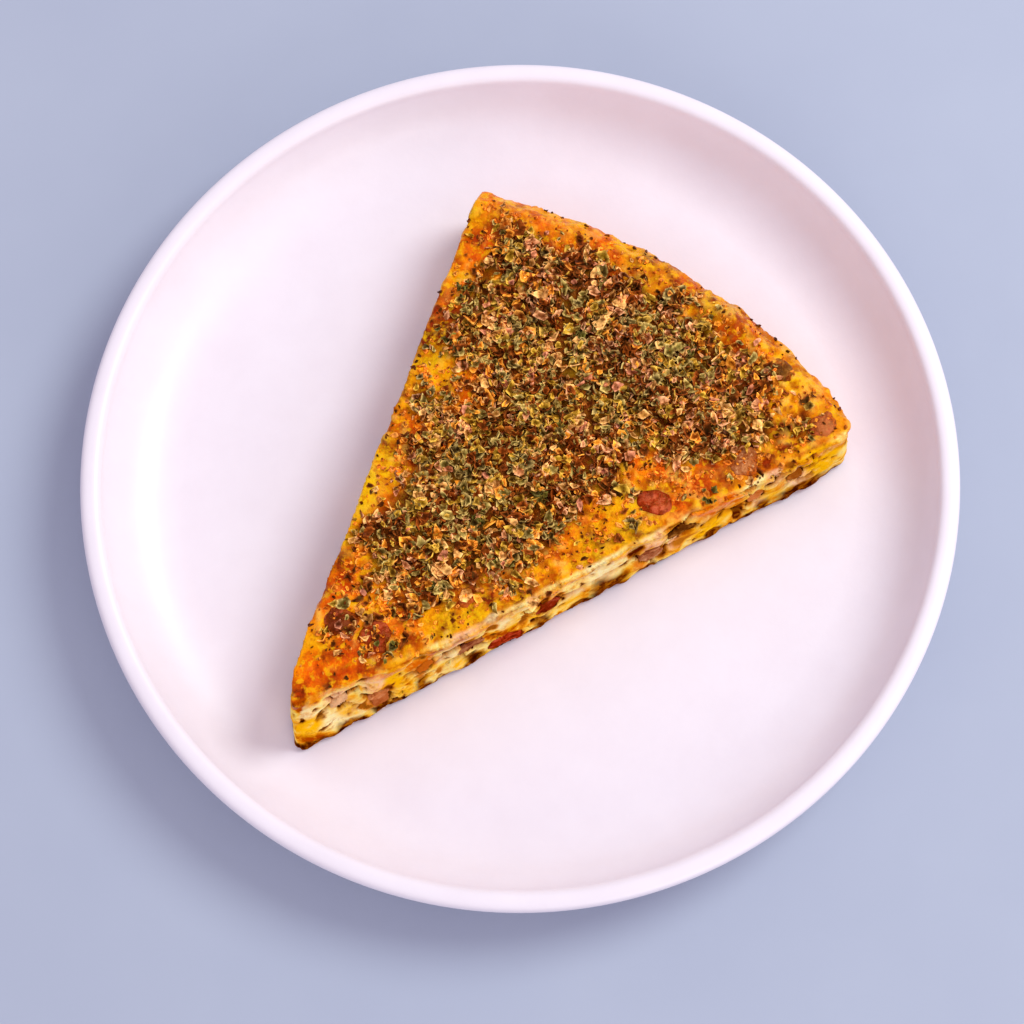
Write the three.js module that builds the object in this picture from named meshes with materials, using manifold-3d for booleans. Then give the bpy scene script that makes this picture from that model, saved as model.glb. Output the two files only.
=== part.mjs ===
// A slice of baked tomato omelette on its round side plate.
// Millimetres, +Z up. The origin is the middle of the circle that the plate's foot ring stands on.
import * as THREE from 'three';
import { mergeVertices } from 'three/addons/utils/BufferGeometryUtils.js';
import Module from 'manifold-3d';

const wasm = await Module();
wasm.setup();

// Plate: a shallow coupe plate with a rounded lip, turned about the Z axis
const PLATE_RADIUS = 100;
const PLATE_HEIGHT = 20;
const LIP_RADIUS = 2.45;
const LIP_SQUARENESS = 2.6;      // 2 makes the lip's section round
const FLOOR_TOP = 5;
const FLOOR_UNDERSIDE = 1.2;
const WELL_RADIUS = 78;
const FOOT_OUTER = 66;
const FOOT_INNER = 60;
const FOOT_CHAMFER = 1.2;
const PLATE_SEGMENTS = 64;

// Slice: one eighth of a round omelette, with two straight knife cuts and one stretch of its round rim
const REST_GAP = 0.3;
const WHOLE_RADIUS = 147;
const WHOLE_CENTRE = [-41.9, -76.9];
const LEFT_CUT = { through: [-31.6, 3.2], angle: 70.4, outward: 1 };
const RIGHT_CUT = { through: [12.3, -30.5], angle: 28.2, outward: -1 };
const SLICE_MIDDLE = [5, 5];
const TIP_POINT = [-50.6, -62.4];
const TIP_SIDE_X = -51.5;        // the blunt tip's left side
const CORNER_SIDE_X = 75.8;      // where the corner between the right cut and the rim is broken off
const SIDE_LEAN = 1.6;
const TIP_THICKNESS = 23;
const RIM_THICKNESS = 19;
const SLICE_LENGTH = 130;
const RIM_ROLL_WIDTH = 7;
const RIM_ROLL_DROP = 4.5;
const BASE_ROUNDING = 0.7;
const BASE_ROUNDING_HEIGHT = 1.5;
const RIM_BASE_INSET = 1.2;
const RIM_BASE_HEIGHT = 9;
const LEFT_LEAN = 1;
const RIGHT_LEAN = 2;
const TIP_LEAN = 3.6;
const TIP_LEAN_FROM = -45;       // along the right cut, from here to the tip the face leans more
const TIP_LEAN_TO = -70;
const CORNER_SHARPNESS = 60;

// Relief of the cut faces and of the baked top: depths and widths of the unevenness
const CRUMB_DEPTH = 0.9;
const CRUMB_LENGTH = 4.5;
const CRUMB_HEIGHT = 3.5;
const SEAM_HEIGHT = 11.5;
const SEAM_WANDER = 1.8;
const SEAM_DEPTH = 0.8;
const SEAM_WIDTH = 1.6;
const PUFFS = [
  { size: 13, height: 0.9, seed: 11 },
  { size: 5.5, height: 0.5, seed: 12 },
];
const TOP_PIECE_DEPTH = 1.1;     // of the middles of the pieces in the top under the crust
const BUBBLE = { at: [49.8, 30.9], height: 1.6, spread: 3 };
const HERB_CRUMBS = { size: 2.1, height: 0.45, seed: 13 };

// Fineness of the slice's faces: the top's grid, the rings of the side walls and the steps along each side
const GRID_STEP = 3;
const WALL_HEIGHTS = [0, 1.5, 5, 8.4, 11.6, 14.8, 18.4, 30];
const LEFT_STEPS = 28;
const RIM_STEPS = 18;
const RIGHT_STEPS = 34;

// Filling pieces keep this gap to the egg they are baked into
const PIECE_GAP = 0.35;

// Dried herbs that lie on top, as chips fused to the crust
const HERB_COUNT = 70;
const HERB_LENGTH = 2.5;
const HERB_WIDTH = 1.7;
const HERB_THICKNESS = 0.9;
const HERB_SPACING = 4.8;
const HERB_SEED = 41;

const DEGREE = Math.PI / 180;

const FINISHES = {
  glaze: { color: 0xf4eaf2, roughness: 0.45, metalness: 0 },
  egg: { color: 0xe8a428, roughness: 0.6, metalness: 0 },
  tomato: { color: 0x9c3a1e, roughness: 0.45, metalness: 0 },
  ham: { color: 0xb57462, roughness: 0.5, metalness: 0 },
  olive: { color: 0x5d4c22, roughness: 0.55, metalness: 0 },
};

// Pieces baked into the top: place, half sizes along their own axes, and turn about Z in degrees
const TOP_PIECES = [
  { name: 'tomato_top_1', finish: 'tomato', at: [29.8, -10.2], half: [4.4, 3.0, 2.4], turn: 6 },
  { name: 'tomato_top_2', finish: 'tomato', at: [-39.2, -37.6], half: [4.2, 4.0, 2.6], turn: -20 },
  { name: 'tomato_top_3', finish: 'tomato', at: [-31.2, -41.4], half: [3.7, 3.2, 2.6], turn: -25 },
  { name: 'tomato_top_4', finish: 'tomato', at: [-2.0, 24.0], half: [4.8, 2.3, 2.2], turn: -12 },
  { name: 'tomato_top_5', finish: 'tomato', at: [-11.7, -32.6], half: [3.2, 2.4, 2.0], turn: 30 },
  { name: 'tomato_top_6', finish: 'tomato', at: [68.5, 8.4], half: [3.4, 2.8, 2.4], turn: 20 },
  { name: 'ham_top_1', finish: 'ham', at: [45.6, 7.3], half: [3.6, 2.4, 2.2], turn: 12 },
  { name: 'ham_top_2', finish: 'ham', at: [50.4, -0.2], half: [3.0, 2.4, 2.2], turn: -30 },
  { name: 'ham_top_3', finish: 'ham', at: [50.2, 21.4], half: [3.0, 2.5, 2.2], turn: 40 },
  { name: 'ham_top_4', finish: 'ham', at: [-15.1, 7.0], half: [2.9, 2.3, 2.0], turn: 60 },
  { name: 'ham_top_5', finish: 'ham', at: [4.7, 34.0], half: [2.8, 2.2, 2.0], turn: 15 },
  { name: 'olive_top_1', finish: 'olive', at: [58.2, 20.6], half: [2.8, 2.3, 2.0], turn: -15 },
];

// Pieces that the knife cut through: along the cut from its reference point, height over the base,
// half sizes along the cut, into the slice and upwards, and tilt of the long axis in degrees
const RIGHT_PIECES = [
  { name: 'ham_right_1', finish: 'ham', along: -57.0, height: 15.2, half: [3.6, 5, 2.0], tilt: 38 },
  { name: 'ham_right_2', finish: 'ham', along: -48.4, height: 8.6, half: [2.5, 5, 3.8], tilt: 0 },
  { name: 'tomato_right_1', finish: 'tomato', along: -36.6, height: 14.8, half: [2.3, 4, 4.0], tilt: -6 },
  { name: 'ham_right_3', finish: 'ham', along: -25.4, height: 12.8, half: [3.6, 6, 2.7], tilt: -30 },
  { name: 'tomato_right_2', finish: 'tomato', along: -17.0, height: 4.7, half: [4.6, 6, 3.3], tilt: -10 },
  { name: 'tomato_right_3', finish: 'tomato', along: -6.0, height: 12.8, half: [3.1, 5, 3.8], tilt: -10 },
  { name: 'ham_right_4', finish: 'ham', along: 20.4, height: 10.8, half: [2.8, 5, 3.2], tilt: -20 },
  { name: 'olive_right_1', finish: 'olive', along: 29.0, height: 14.6, half: [4.0, 6, 2.3], tilt: -6 },
  { name: 'ham_right_5', finish: 'ham', along: 47.6, height: 11.8, half: [2.2, 5, 3.8], tilt: -5 },
  { name: 'olive_right_2', finish: 'olive', along: 58.0, height: 13.0, half: [2.2, 4, 3.2], tilt: -5 },
];
const LEFT_PIECES = [
  { name: 'ham_left_1', finish: 'ham', along: -46.0, height: 12.8, half: [3.4, 5, 2.7], tilt: 18 },
  { name: 'tomato_left_1', finish: 'tomato', along: -31.0, height: 6.2, half: [4.2, 6, 3.0], tilt: -6 },
  { name: 'olive_left_1', finish: 'olive', along: -16.0, height: 13.2, half: [2.6, 4, 2.5], tilt: 0 },
  { name: 'ham_left_2', finish: 'ham', along: 0.0, height: 8.8, half: [3.6, 5, 3.0], tilt: 15 },
  { name: 'tomato_left_2', finish: 'tomato', along: 16.0, height: 12.0, half: [2.9, 5, 3.3], tilt: -4 },
  { name: 'ham_left_3', finish: 'ham', along: 32.0, height: 7.4, half: [3.9, 5, 2.7], tilt: 12 },
  { name: 'tomato_left_3', finish: 'tomato', along: 48.0, height: 10.2, half: [2.6, 4, 3.0], tilt: -8 },
];

// Random numbers from 0 to 1 that come out the same on every run
function seededRandom(seed) {
  let state = seed;
  return () => {
    state = (state + 0x6d2b79f5) | 0;
    let mixed = Math.imul(state ^ (state >>> 15), 1 | state);
    mixed = (mixed + Math.imul(mixed ^ (mixed >>> 7), 61 | mixed)) ^ mixed;
    return ((mixed ^ (mixed >>> 14)) >>> 0) / 4294967296;
  };
}

// One fixed random value from -1 to 1 for each point of a square lattice
function latticeValue(column, row, seed) {
  return seededRandom(column * 73856093 + row * 19349663 + seed * 83492791)() * 2 - 1;
}

function smoothstep(low, high, value) {
  return THREE.MathUtils.smoothstep(value, low, high);
}

// Smooth bumps about one unit apart, from -1 to 1
function bumps(x, y, seed) {
  const column = Math.floor(x);
  const row = Math.floor(y);
  const across = smoothstep(0, 1, x - column);
  const up = smoothstep(0, 1, y - row);
  const lower = THREE.MathUtils.lerp(
    latticeValue(column, row, seed), latticeValue(column + 1, row, seed), across);
  const upper = THREE.MathUtils.lerp(
    latticeValue(column, row + 1, seed), latticeValue(column + 1, row + 1, seed), across);
  return THREE.MathUtils.lerp(lower, upper, up);
}

// A closed geometry becomes a solid that can be joined and cut
function solidFrom(geometry) {
  const bare = geometry.clone();
  bare.deleteAttribute('normal');
  bare.deleteAttribute('uv');
  const merged = mergeVertices(bare, 1e-4);
  const corners = merged.index.array;
  const kept = [];
  for (let i = 0; i < corners.length; i += 3) {
    const [a, b, c] = [corners[i], corners[i + 1], corners[i + 2]];
    if (a !== b && b !== c && c !== a) kept.push(a, b, c);
  }
  return new wasm.Manifold(new wasm.Mesh({
    numProp: 3,
    vertProperties: new Float32Array(merged.attributes.position.array),
    triVerts: new Uint32Array(kept),
  }));
}

function geometryFrom(solid) {
  const mesh = solid.getMesh();
  const geometry = new THREE.BufferGeometry();
  geometry.setAttribute('position', new THREE.BufferAttribute(new Float32Array(mesh.vertProperties), 3));
  geometry.setIndex(new THREE.BufferAttribute(new Uint32Array(mesh.triVerts), 1));
  return geometry;
}

function namedMesh(name, finish, geometry) {
  geometry.computeVertexNormals();
  const material = new THREE.MeshStandardMaterial({ ...FINISHES[finish], flatShading: true });
  const mesh = new THREE.Mesh(geometry, material);
  mesh.name = name;
  return mesh;
}

// A point of the lip's section, which is a little squarer than a half circle, from outside to inside
function lipPoint(angle) {
  const across = Math.cos(angle);
  const power = 2 / LIP_SQUARENESS;
  return new THREE.Vector2(
    PLATE_RADIUS - LIP_RADIUS * (1 - Math.sign(across) * Math.abs(across) ** power),
    PLATE_HEIGHT - LIP_RADIUS * (1 - Math.sin(angle) ** power));
}

// The plate's half section, from the axis under the foot round the lip to the axis on the floor
function plateProfile() {
  const lipHeight = PLATE_HEIGHT - LIP_RADIUS;
  const outerWall = new THREE.CubicBezierCurve(
    new THREE.Vector2(FOOT_OUTER + FOOT_CHAMFER, FOOT_CHAMFER),
    new THREE.Vector2(86, 2.2),
    new THREE.Vector2(97, 8.5),
    new THREE.Vector2(PLATE_RADIUS, lipHeight));
  const innerWall = new THREE.CubicBezierCurve(
    new THREE.Vector2(PLATE_RADIUS - 2 * LIP_RADIUS, lipHeight),
    new THREE.Vector2(93.5, 11),
    new THREE.Vector2(89, FLOOR_TOP + 0.3),
    new THREE.Vector2(WELL_RADIUS, FLOOR_TOP));
  const points = [
    new THREE.Vector2(0, FLOOR_UNDERSIDE),
    new THREE.Vector2(FOOT_INNER - FOOT_CHAMFER, FLOOR_UNDERSIDE),
    new THREE.Vector2(FOOT_INNER, 0),
    new THREE.Vector2(FOOT_OUTER, 0),
    ...outerWall.getPoints(5),
  ];
  const lipSteps = 4;
  for (let i = 1; i < lipSteps; i += 1) points.push(lipPoint(Math.PI * i / lipSteps));
  points.push(...innerWall.getPoints(6), new THREE.Vector2(0, FLOOR_TOP));
  return points;
}

function makePlate() {
  const turned = new THREE.LatheGeometry(plateProfile(), PLATE_SEGMENTS);
  turned.rotateX(Math.PI / 2);
  return namedMesh('plate', 'glaze', geometryFrom(solidFrom(turned)));
}

// A cut as a line: a point on it, its direction, and the direction out of the slice
function cutLine(cut) {
  const along = new THREE.Vector2(Math.cos(cut.angle * DEGREE), Math.sin(cut.angle * DEGREE));
  const out = new THREE.Vector2(-along.y * cut.outward, along.x * cut.outward);
  return { through: new THREE.Vector2(...cut.through), along, out };
}

const leftLine = cutLine(LEFT_CUT);
const rightLine = cutLine(RIGHT_CUT);
const wholeCentre = new THREE.Vector2(...WHOLE_CENTRE);
const sliceMiddle = new THREE.Vector2(...SLICE_MIDDLE);
const tipPoint = new THREE.Vector2(...TIP_POINT);
const bluntTip = { through: tipPoint, out: tipPoint.clone().sub(sliceMiddle).normalize() };
const tipSide = { through: new THREE.Vector2(TIP_SIDE_X, 0), out: new THREE.Vector2(-1, 0) };
const cornerSide = { through: new THREE.Vector2(CORNER_SIDE_X, 0), out: new THREE.Vector2(1, 0) };

// From the slice's middle along a direction to a line that is shifted outwards by some millimetres
function reachOfLine(line, direction, shift) {
  const facing = line.out.dot(direction);
  if (facing <= 0) return Infinity;
  return (line.through.clone().sub(sliceMiddle).dot(line.out) + shift) / facing;
}

function reachOfRim(direction, shift) {
  const offset = sliceMiddle.clone().sub(wholeCentre);
  const lengthwise = offset.dot(direction);
  const radius = WHOLE_RADIUS + shift;
  return -lengthwise + Math.sqrt(lengthwise ** 2 - offset.lengthSq() + radius ** 2);
}

// The crumbly relief that the knife left on a cut face, always into the slice, with a seam half way up
function cutRelief(along, height, seed) {
  const crumb = CRUMB_DEPTH * (1 + bumps(along / CRUMB_LENGTH, height / CRUMB_HEIGHT, seed)) / 2;
  const seamHeight = SEAM_HEIGHT + SEAM_WANDER * bumps(along / 17, 0.5, seed + 1);
  const seamDepth = SEAM_DEPTH * smoothstep(-0.3, 0.5, bumps(along / 12, 3.5, seed + 2));
  return crumb + seamDepth * Math.exp(-(((height - seamHeight) / SEAM_WIDTH) ** 2));
}

// From the middle to a cut face with its relief; shiftAt gives the face's lean at a place along the cut
function reachOfCut(line, direction, height, shiftAt, seed) {
  if (line.out.dot(direction) <= 0) return Infinity;
  const hit = direction.clone().multiplyScalar(reachOfLine(line, direction, 0)).add(sliceMiddle);
  const along = hit.sub(line.through).dot(line.along);
  return reachOfLine(line, direction, shiftAt(along) - cutRelief(along, height, seed));
}

// The slice's outline from its middle in one direction and at one height over its base
function outlineReach(direction, height) {
  const rounding = BASE_ROUNDING * (1 - smoothstep(0, BASE_ROUNDING_HEIGHT, height));
  const climb = height / TIP_THICKNESS;
  const tipShare = (along) => 1 - smoothstep(TIP_LEAN_TO, TIP_LEAN_FROM, along);
  const rightShift = (along) => -rounding - climb * (RIGHT_LEAN + TIP_LEAN * tipShare(along));
  const leftShift = () => -rounding + LEFT_LEAN * (1 - climb);
  const reaches = [
    reachOfCut(rightLine, direction, height, rightShift, 5),
    reachOfCut(leftLine, direction, height, leftShift, 9),
    reachOfRim(direction, -RIM_BASE_INSET * (1 - smoothstep(0, RIM_BASE_HEIGHT, height))),
    reachOfLine(bluntTip, direction, -climb * TIP_LEAN),
    reachOfLine(tipSide, direction, -climb * SIDE_LEAN),
    reachOfLine(cornerSide, direction, -climb * SIDE_LEAN),
  ];
  const sum = reaches.reduce((total, reach) => total + reach ** -CORNER_SHARPNESS, 0);
  return sum ** (-1 / CORNER_SHARPNESS);
}

// Where a cut meets the whole omelette's rim
function cornerAtRim(line) {
  const offset = line.through.clone().sub(wholeCentre);
  const lengthwise = offset.dot(line.along);
  const reach = -lengthwise + Math.sqrt(lengthwise ** 2 - offset.lengthSq() + WHOLE_RADIUS ** 2);
  return line.through.clone().addScaledVector(line.along, reach);
}

// Directions from the middle to points evenly spaced along the left cut, the rim and the right cut
function outlineDirections() {
  const rimStart = cornerAtRim(leftLine);
  const rimEnd = cornerAtRim(rightLine);
  const targets = [];
  for (let i = 0; i < LEFT_STEPS; i += 1) targets.push(tipPoint.clone().lerp(rimStart, i / LEFT_STEPS));
  const startAngle = rimStart.clone().sub(wholeCentre).angle();
  const endAngle = rimEnd.clone().sub(wholeCentre).angle();
  for (let i = 0; i < RIM_STEPS; i += 1) {
    const angle = THREE.MathUtils.lerp(startAngle, endAngle, i / RIM_STEPS);
    const outward = new THREE.Vector2(Math.cos(angle), Math.sin(angle));
    targets.push(outward.multiplyScalar(WHOLE_RADIUS).add(wholeCentre));
  }
  for (let i = 0; i < RIGHT_STEPS; i += 1) targets.push(rimEnd.clone().lerp(tipPoint, i / RIGHT_STEPS));
  return targets.map((target) => target.sub(sliceMiddle).normalize());
}

// Closed wall of the slice: rings of the outline at several heights with a fan at each end
function sideWalls() {
  const directions = outlineDirections();
  const count = directions.length;
  const positions = [];
  for (const height of WALL_HEIGHTS) {
    for (const direction of directions) {
      const reach = outlineReach(direction, height);
      positions.push(sliceMiddle.x + direction.x * reach, sliceMiddle.y + direction.y * reach, height);
    }
  }
  positions.push(sliceMiddle.x, sliceMiddle.y, 0, sliceMiddle.x, sliceMiddle.y, WALL_HEIGHTS.at(-1));
  const bottomMiddle = WALL_HEIGHTS.length * count;
  const topMiddle = bottomMiddle + 1;
  const topRing = (WALL_HEIGHTS.length - 1) * count;
  const corners = [];
  for (let i = 0; i < count; i += 1) {
    const next = (i + 1) % count;
    for (let ring = 0; ring < WALL_HEIGHTS.length - 1; ring += 1) {
      const low = ring * count;
      const high = low + count;
      corners.push(low + i, high + i, low + next, low + next, high + i, high + next);
    }
    corners.push(bottomMiddle, i, next);
    corners.push(topMiddle, topRing + next, topRing + i);
  }
  const geometry = new THREE.BufferGeometry();
  geometry.setAttribute('position', new THREE.BufferAttribute(new Float32Array(positions), 3));
  geometry.setIndex(corners);
  return geometry;
}

// How far a place on the top lies inside the rim and inside the two cuts
function insets(x, y) {
  const place = new THREE.Vector2(x, y);
  return {
    rim: WHOLE_RADIUS - place.distanceTo(wholeCentre),
    left: leftLine.through.clone().sub(place).dot(leftLine.out),
    right: rightLine.through.clone().sub(place).dot(rightLine.out),
    tip: place.distanceTo(tipPoint),
  };
}

// 1 where dried herbs cover the top thickly, 0 where the crust is bare
function herbCover(x, y) {
  const inset = insets(x, y);
  const ragged = 3 * bumps(x / 9, y / 9, 21);
  return smoothstep(6, 12, inset.rim + ragged)
    * smoothstep(3, 8, inset.left + ragged)
    * smoothstep(6, 14, inset.right + ragged)
    * smoothstep(34, 46, inset.tip + ragged);
}

// Height of the baked top over the slice's base
function topHeight(x, y) {
  const inset = insets(x, y);
  const thickness = THREE.MathUtils.lerp(TIP_THICKNESS, RIM_THICKNESS, inset.tip / SLICE_LENGTH);
  const rimRoll = RIM_ROLL_DROP * (1 - smoothstep(-2, RIM_ROLL_WIDTH, inset.rim)) ** 2;
  const puffs = PUFFS.reduce((sum, puff) => (
    sum + puff.height * bumps(x / puff.size, y / puff.size, puff.seed)), 0);
  const fromBubble = Math.hypot(x - BUBBLE.at[0], y - BUBBLE.at[1]) / BUBBLE.spread;
  const bubble = BUBBLE.height * Math.exp(-(fromBubble ** 2) / 2);
  const crumbs = HERB_CRUMBS.height * herbCover(x, y)
    * bumps(x / HERB_CRUMBS.size, y / HERB_CRUMBS.size, HERB_CRUMBS.seed);
  return thickness - rimRoll + puffs + bubble + crumbs;
}

// A block whose upper side is the baked top, larger than the slice on every other side
function topBlock() {
  const low = [-62, -74];
  const high = [86, 76];
  const columns = Math.round((high[0] - low[0]) / GRID_STEP);
  const rows = Math.round((high[1] - low[1]) / GRID_STEP);
  const bottom = -6;
  const block = new THREE.BoxGeometry(high[0] - low[0], high[1] - low[1], 1, columns, rows, 1);
  block.translate((low[0] + high[0]) / 2, (low[1] + high[1]) / 2, 0);
  const position = block.attributes.position;
  for (let i = 0; i < position.count; i += 1) {
    const onTop = position.getZ(i) > 0;
    position.setZ(i, onTop ? topHeight(position.getX(i), position.getY(i)) : bottom);
  }
  return block;
}

// An uneven lump with half sizes along its own axes, grown on all sides by some millimetres
function lump(half, growth, seed) {
  const geometry = new THREE.SphereGeometry(1, 8, 6);
  const position = geometry.attributes.position;
  const point = new THREE.Vector3();
  for (let i = 0; i < position.count; i += 1) {
    point.fromBufferAttribute(position, i);
    const uneven = 1 + 0.14 * bumps(point.x * 1.7 + 4, point.y * 1.7 + point.z * 2.3, seed);
    position.setXYZ(i,
      point.x * (half[0] * uneven + growth),
      point.y * (half[1] * uneven + growth),
      point.z * (half[2] * uneven + growth));
  }
  return geometry;
}

function topLump(piece, growth, seed) {
  const geometry = lump(piece.half, growth, seed);
  geometry.rotateZ(piece.turn * DEGREE);
  geometry.translate(piece.at[0], piece.at[1], topHeight(...piece.at) - TOP_PIECE_DEPTH);
  return geometry;
}

// A lump with its middle on a cut face and its long axis along the cut
function cutLump(piece, cut, growth, seed) {
  const line = cutLine(cut);
  const geometry = lump(piece.half, growth, seed);
  geometry.rotateY(-piece.tilt * DEGREE);
  geometry.rotateZ(cut.angle * DEGREE);
  const foot = line.through.clone().addScaledVector(line.along, piece.along);
  geometry.translate(foot.x, foot.y, piece.height);
  return geometry;
}

// Each filling piece as its own solid, and the pocket that the egg leaves round it
function fillingPieces(slice) {
  const found = [];
  TOP_PIECES.forEach((piece, i) => {
    found.push({
      ...piece,
      solid: solidFrom(topLump(piece, 0, 30 + i)),
      pocket: solidFrom(topLump(piece, PIECE_GAP, 30 + i)),
    });
  });
  [[RIGHT_CUT, RIGHT_PIECES, 50], [LEFT_CUT, LEFT_PIECES, 70]].forEach(([cut, pieces, seed]) => {
    pieces.forEach((piece, i) => {
      found.push({
        ...piece,
        solid: solidFrom(cutLump(piece, cut, 0, seed + i)).intersect(slice),
        pocket: solidFrom(cutLump(piece, cut, PIECE_GAP, seed + i)),
      });
    });
  });
  return found;
}

// One chip of dried herb, half sunk in the crust and tilted any way
function herbChip(x, y, random) {
  const chip = new THREE.BoxGeometry(
    HERB_LENGTH * (0.8 + 0.4 * random()), HERB_WIDTH * (0.8 + 0.4 * random()), HERB_THICKNESS);
  chip.rotateX((random() - 0.5) * 0.6);
  chip.rotateY((random() - 0.5) * 0.6);
  chip.rotateZ(random() * Math.PI);
  chip.translate(x, y, topHeight(x, y) + 0.25);
  return chip;
}

// Herb chips spread over the covered part of the top, clear of every filling piece
function addHerbs(slice) {
  const random = seededRandom(HERB_SEED);
  const places = [];
  let joined = slice;
  for (let attempt = 0; attempt < 6000 && places.length < HERB_COUNT; attempt += 1) {
    const x = THREE.MathUtils.lerp(-50, 75, random());
    const y = THREE.MathUtils.lerp(-50, 62, random());
    const covered = herbCover(x, y) > random();
    const apart = places.every((other) => Math.hypot(x - other[0], y - other[1]) > HERB_SPACING);
    const clear = TOP_PIECES.every((piece) => (
      Math.hypot(x - piece.at[0], y - piece.at[1]) > piece.half[0] * 1.15 + HERB_LENGTH));
    if (covered && apart && clear) {
      places.push([x, y]);
      joined = joined.add(solidFrom(herbChip(x, y, random)));
    }
  }
  return joined;
}

function makeSlice() {
  const slice = solidFrom(topBlock()).intersect(solidFrom(sideWalls()));
  const pieces = fillingPieces(slice);
  const hollowed = pieces.reduce((rest, piece) => rest.subtract(piece.pocket), slice);
  const group = new THREE.Group();
  group.position.z = FLOOR_TOP + REST_GAP;
  group.add(namedMesh('omelette', 'egg', geometryFrom(addHerbs(hollowed))));
  pieces.forEach((piece) => {
    group.add(namedMesh(piece.name, piece.finish, geometryFrom(piece.solid)));
  });
  return group;
}

const tomatoOmelette = new THREE.Group();
tomatoOmelette.add(makePlate(), makeSlice());

export default tomatoOmelette;
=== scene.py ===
import math
from collections import namedtuple

import bpy
import numpy as np
from mathutils import Matrix, Vector
from mathutils.bvhtree import BVHTree


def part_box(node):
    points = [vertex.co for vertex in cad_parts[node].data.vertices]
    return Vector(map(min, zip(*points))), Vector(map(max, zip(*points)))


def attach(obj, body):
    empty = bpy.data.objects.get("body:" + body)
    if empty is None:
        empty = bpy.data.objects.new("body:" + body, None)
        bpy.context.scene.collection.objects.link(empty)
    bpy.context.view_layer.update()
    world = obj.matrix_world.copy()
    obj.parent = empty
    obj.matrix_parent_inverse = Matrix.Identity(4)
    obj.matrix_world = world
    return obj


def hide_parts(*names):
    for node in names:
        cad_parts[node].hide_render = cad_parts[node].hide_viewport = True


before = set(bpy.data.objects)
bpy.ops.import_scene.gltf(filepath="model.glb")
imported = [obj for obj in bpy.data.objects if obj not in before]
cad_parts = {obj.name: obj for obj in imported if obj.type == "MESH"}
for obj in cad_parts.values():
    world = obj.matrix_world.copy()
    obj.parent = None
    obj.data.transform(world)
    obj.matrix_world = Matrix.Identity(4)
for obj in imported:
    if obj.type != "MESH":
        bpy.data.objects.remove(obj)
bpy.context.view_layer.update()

# Sizes are in millimetres, and meshes are scaled to metres when they are made
MM = 0.001

# Plate, as the solid has it
PLATE_RADIUS = 100
PLATE_HEIGHT = 20
LIP_RADIUS = 2.45
LIP_SQUARENESS = 2.6
FLOOR_TOP = 5
FLOOR_UNDERSIDE = 1.2
WELL_RADIUS = 78
FOOT_OUTER = 66
FOOT_INNER = 60
FOOT_CHAMFER = 1.2
PLATE_STEPS = 256

# Slice, as the solid has it
REST_GAP = 0.3
SLICE_BASE = FLOOR_TOP + REST_GAP
WHOLE_RADIUS = 147
WHOLE_CENTRE = (-41.9, -76.9)
SLICE_MIDDLE = (5, 5)
TIP_POINT = (-50.6, -62.4)
TIP_SIDE_X = -51.5
CORNER_SIDE_X = 75.8
SIDE_LEAN = 1.6
TIP_THICKNESS = 23
RIM_THICKNESS = 19
SLICE_LENGTH = 130
RIM_ROLL_WIDTH = 7
RIM_ROLL_DROP = 4.5
BASE_ROUNDING = 0.7
BASE_ROUNDING_HEIGHT = 1.5
RIM_BASE_INSET = 1.2
RIM_BASE_HEIGHT = 9
LEFT_LEAN = 1
RIGHT_LEAN = 2
TIP_LEAN = 3.6
TIP_LEAN_FROM = -45
TIP_LEAN_TO = -70
CORNER_SHARPNESS = 60
CRUMB_DEPTH = 0.9
CRUMB_SIZE = (4.5, 3.5)
SEAM_HEIGHT = 11.5
SEAM_WANDER = 1.8
SEAM_DEPTH = 0.8
SEAM_WIDTH = 1.6
PUFFS = [(13, 0.9, 11), (5.5, 0.5, 12)]
BUBBLE_PLACE = (49.8, 30.9)
BUBBLE_HEIGHT = 1.6
BUBBLE_SPREAD = 3
RIGHT_SEED = 5
LEFT_SEED = 9

# Fineness of the slice's skin
SLICE_DIRECTIONS = 720
WALL_STEPS = 30
TOP_STEPS = 70
SLICE_VOXEL = 0.55
PIECE_VOXEL = 0.28

# Relief of the slice's skin: the cuts, the crust, and the groove round a filling piece
LUMP_HEIGHT = 0.42
PORE_DEPTH = 0.4
CREASE_DEPTH = 0.6
SLIT_DEPTH = 1.6
SLIT_WIDTH = 1.2
STAIN_DEPTH = 0.35
SHOULDER_WIDTH = 3.2
SHOULDER_DROP = 1.1
CRUST_CRUMB_HEIGHT = 0.36
BLISTER_HEIGHT = 0.3
KNOB_HEIGHT = 0.7
PIECE_GROOVE = 1.1

# Baked colour of the crust: places on the top, radius and strength
YELLOW_PATCHES = [
    (-20.5, 23, 4, 1), (-21, 28, 4, 1), (-33.2, -4.7, 4, 1), (-34.5, -9.5, 3, 0.9),
    (-37.8, -17.5, 4, 0.7), (-44.2, -41.3, 3, 0.6), (-9.5, -35.5, 5, 1), (-16, -38.5, 5, 1),
    (31.2, 45.4, 5, 0.6), (43.9, 36.6, 4, 0.7), (61.3, 20.2, 6, 0.8), (25.2, -9.7, 4, 0.9),
    (17, -22.7, 6, 0.9), (0.3, 58.5, 4, 0.3), (29.1, -19, 6, 0.8), (70.5, 11.4, 5, 0.6),
    (62, -2, 6, 0.5), (-25, -46, 5, 0.6), (-32.5, -35, 4, 0.6), (-30, -2, 5, 0.9), (21.5, -9, 5, 0.7),
    (-19, 20, 6, 0.8), (24, -17, 5, 1), (60, 12, 5, 0.5), (1, -36.5, 4, 0.9),
]
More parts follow.
